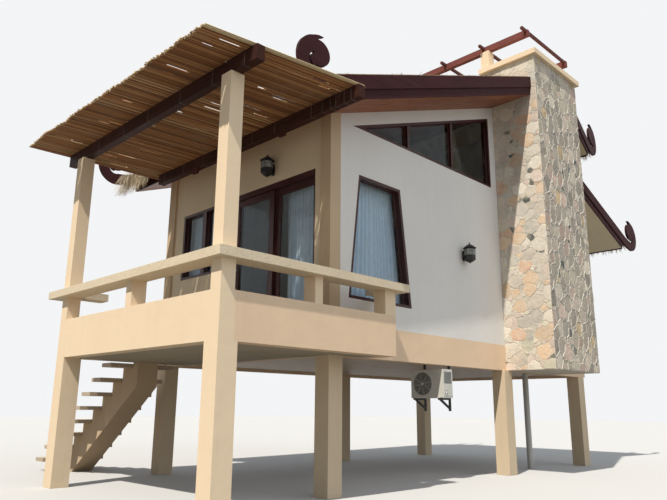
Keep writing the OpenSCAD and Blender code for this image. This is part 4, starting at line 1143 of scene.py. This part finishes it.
def window_beads():
    """Beads round each pane of the fixed windows."""
    s = Shape()
    rim, half = 0.045, 0.025  # widths of a frame and of half a mullion
    side_window = [(2.457, 0.798), (3.849, 0.798), (3.614, 2.635), (2.673, 2.635)]
    clerestory = [(2.542, 3.360), (6.330, 3.360), (6.330, 4.765)]
    moulding(s, inset(side_window, rim), on_wall(X, WALL_X - 0.107))
    high = inset(clerestory, rim)
    for y0, y1 in ((0, 3.860 - half), (3.860 + half, 5.080 - half), (5.080 + half, 9)):
        cell, _ = clip(high, [0] * 3, (y0, 0), (-1, 0), 0)
        cell, _ = clip(cell, [0] * len(cell), (y1, 0), (1, 0), 0)
        moulding(s, cell, on_wall(X, WALL_X - 0.062))
    for x0, x1 in ((-4.189 + rim, -3.600), (-3.500, -2.910 - rim)):
        moulding(s, rectangle(x0, 1.505, x1, 2.577), on_wall(Y, WALL_Y + 0.070, -1))
    s.make("window_beads", "mahogany_frame", "window_frames")


def trellis_bolts():
    """A coach bolt with a washer where each cross piece lies in a beam."""
    s = Shape()
    for i in range(7):
        for y in (6.650, 8.260):
            for r, z0, z1, n in ((0.017, 6.474, 6.4785, 16), (0.010, 6.478, 6.487, 6)):
                s.rod((0.265 - 0.930 * i, y, z0), (z1 - z0) * UP, r, n)
    s.make("trellis_bolts", "black_iron", "roof_cross_pieces")


TIES = {
    "outer_beam": (-4.1, -3.35, -2.6, -1.9, -1.15, -0.42, 0.2),
    "inner_beam": (-3.9, -3.3, -2.75, -1.95, -1.5, -1.0, -0.25, -0.05, 0.10, 0.22, 0.34, 0.46),
}


def beam_straps():
    """Wire ties that hold the reed mat to the two pergola beams."""
    s = Shape()
    for node, places in TIES.items():
        lo, hi = box_of(node)
        y0, y1, z0, z1 = lo[1] - 0.002, hi[1] + 0.002, lo[2] - 0.002, hi[2]
        for x in places:
            x += uniform(-0.02, 0.02)
            lean = uniform(-0.015, 0.015)
            s.tube([(x, y0, z1), (x + lean, y0, z0), (x + lean, y1, z0), (x + 0.01, y1, z1)], 0.0016, 5)
    s.make("mat_ties", "tie_wire", "reed_cover", smooth=True)


soffit_boards()
thatch()
canes()
pylon_stones()
curtains()
lantern("front_lantern", np.array([-1.742, WALL_Y - 0.130, 2.775]), -ALONG_Y)
lantern("side_lantern", np.array([WALL_X + 0.130, 5.300, 1.780]), ALONG_X)
unit_parts()
door_parts()
window_beads()
trellis_bolts()
beam_straps()

# ---- stage, light and camera


def pale_for(tree):
    """One for the rays that see the pale background: the camera's, mirrored and let through."""
    path = nd(tree, "LightPath").outputs
    through = maths(tree, "MAXIMUM", path["Is Glossy Ray"], path["Is Transmission Ray"])
    return maths(tree, "MAXIMUM", path["Is Camera Ray"], through)


def sun_lamp(name, energy, angle, colour, towards):
    """A sun lamp seen from the direction towards."""
    data = bpy.data.lights.new(name, "SUN")
    data.energy, data.angle, data.color = energy, math.radians(angle), colour
    lamp = link(name, data)
    lamp.rotation_mode = "QUATERNION"
    lamp.rotation_quaternion = Vector(towards).to_track_quat("Z", "Y")
    lamp.location = (0, 0, 20)
    return lamp


R, DOWN = 60.0, -0.002  # half the floor's side, and its height
mesh = bpy.data.meshes.new("studio_floor")
mesh.from_pydata([(*q, DOWN) for q in rectangle(-R, -R, R, R)], [], [(0, 1, 2, 3)])
floor = link("studio_floor", mesh)
mesh.materials.append(material("studio_floor"))
ft = mesh.materials[0].node_tree
pale = mix(ft, pale_for(ft), (0.20, 0.19, 0.17), (0.60, 0.60, 0.60))
output(ft, nd(ft, "BsdfPrincipled", {"Base Color": pale, "Roughness": 0.9}))

world = bpy.data.worlds.new("studio")
bpy.context.scene.world = world
world.use_nodes = True
wt = world.node_tree
wt.nodes.clear()
fill = nd(wt, "Background", {"Color": (0.86, 0.93, 1.0), "Strength": 0.38})
back = nd(wt, "Background", {"Color": (0.90, 0.91, 0.92), "Strength": 1.0})
nd(wt, "OutputWorld", {"Surface": mix_shaders(wt, pale_for(wt), fill, back).outputs[0]})

sun_lamp("sun", 4.2, 0.9, (1.0, 0.94, 0.84), (0.335, -1.0, 1.5))
side_sky = sun_lamp("side_sky", 0.75, 70.0, (0.88, 0.94, 1.0), (1.0, 0.05, 0.45))
side_sky.visible_glossy = False

# The camera was fitted to about 90 points of the photograph, 667 pixels wide.
YAW, PITCH, ROLL = (math.radians(a) for a in (44.8753, 13.8159, -0.4686))
FOCAL_PIXELS, SENSOR = 643.23, 36.0
EYE = np.array([5.4669, -3.8339, -0.6682]) + ORIGIN
turn = Matrix.Rotation(YAW, 3, "Z") @ Matrix.Rotation(PITCH, 3, "X") @ Matrix.Rotation(ROLL, 3, "Y")
right, ahead, up = turn.col
cam_data = bpy.data.cameras.new("camera")
cam_data.sensor_width = SENSOR
cam_data.lens = FOCAL_PIXELS / 667 * SENSOR
cam = link("camera", cam_data)
cam.matrix_world = Matrix([(right[i], up[i], -ahead[i], EYE[i]) for i in range(3)] + [(0, 0, 0, 1)])
bpy.context.scene.camera = cam
bpy.context.scene.view_settings.view_transform = "Standard"
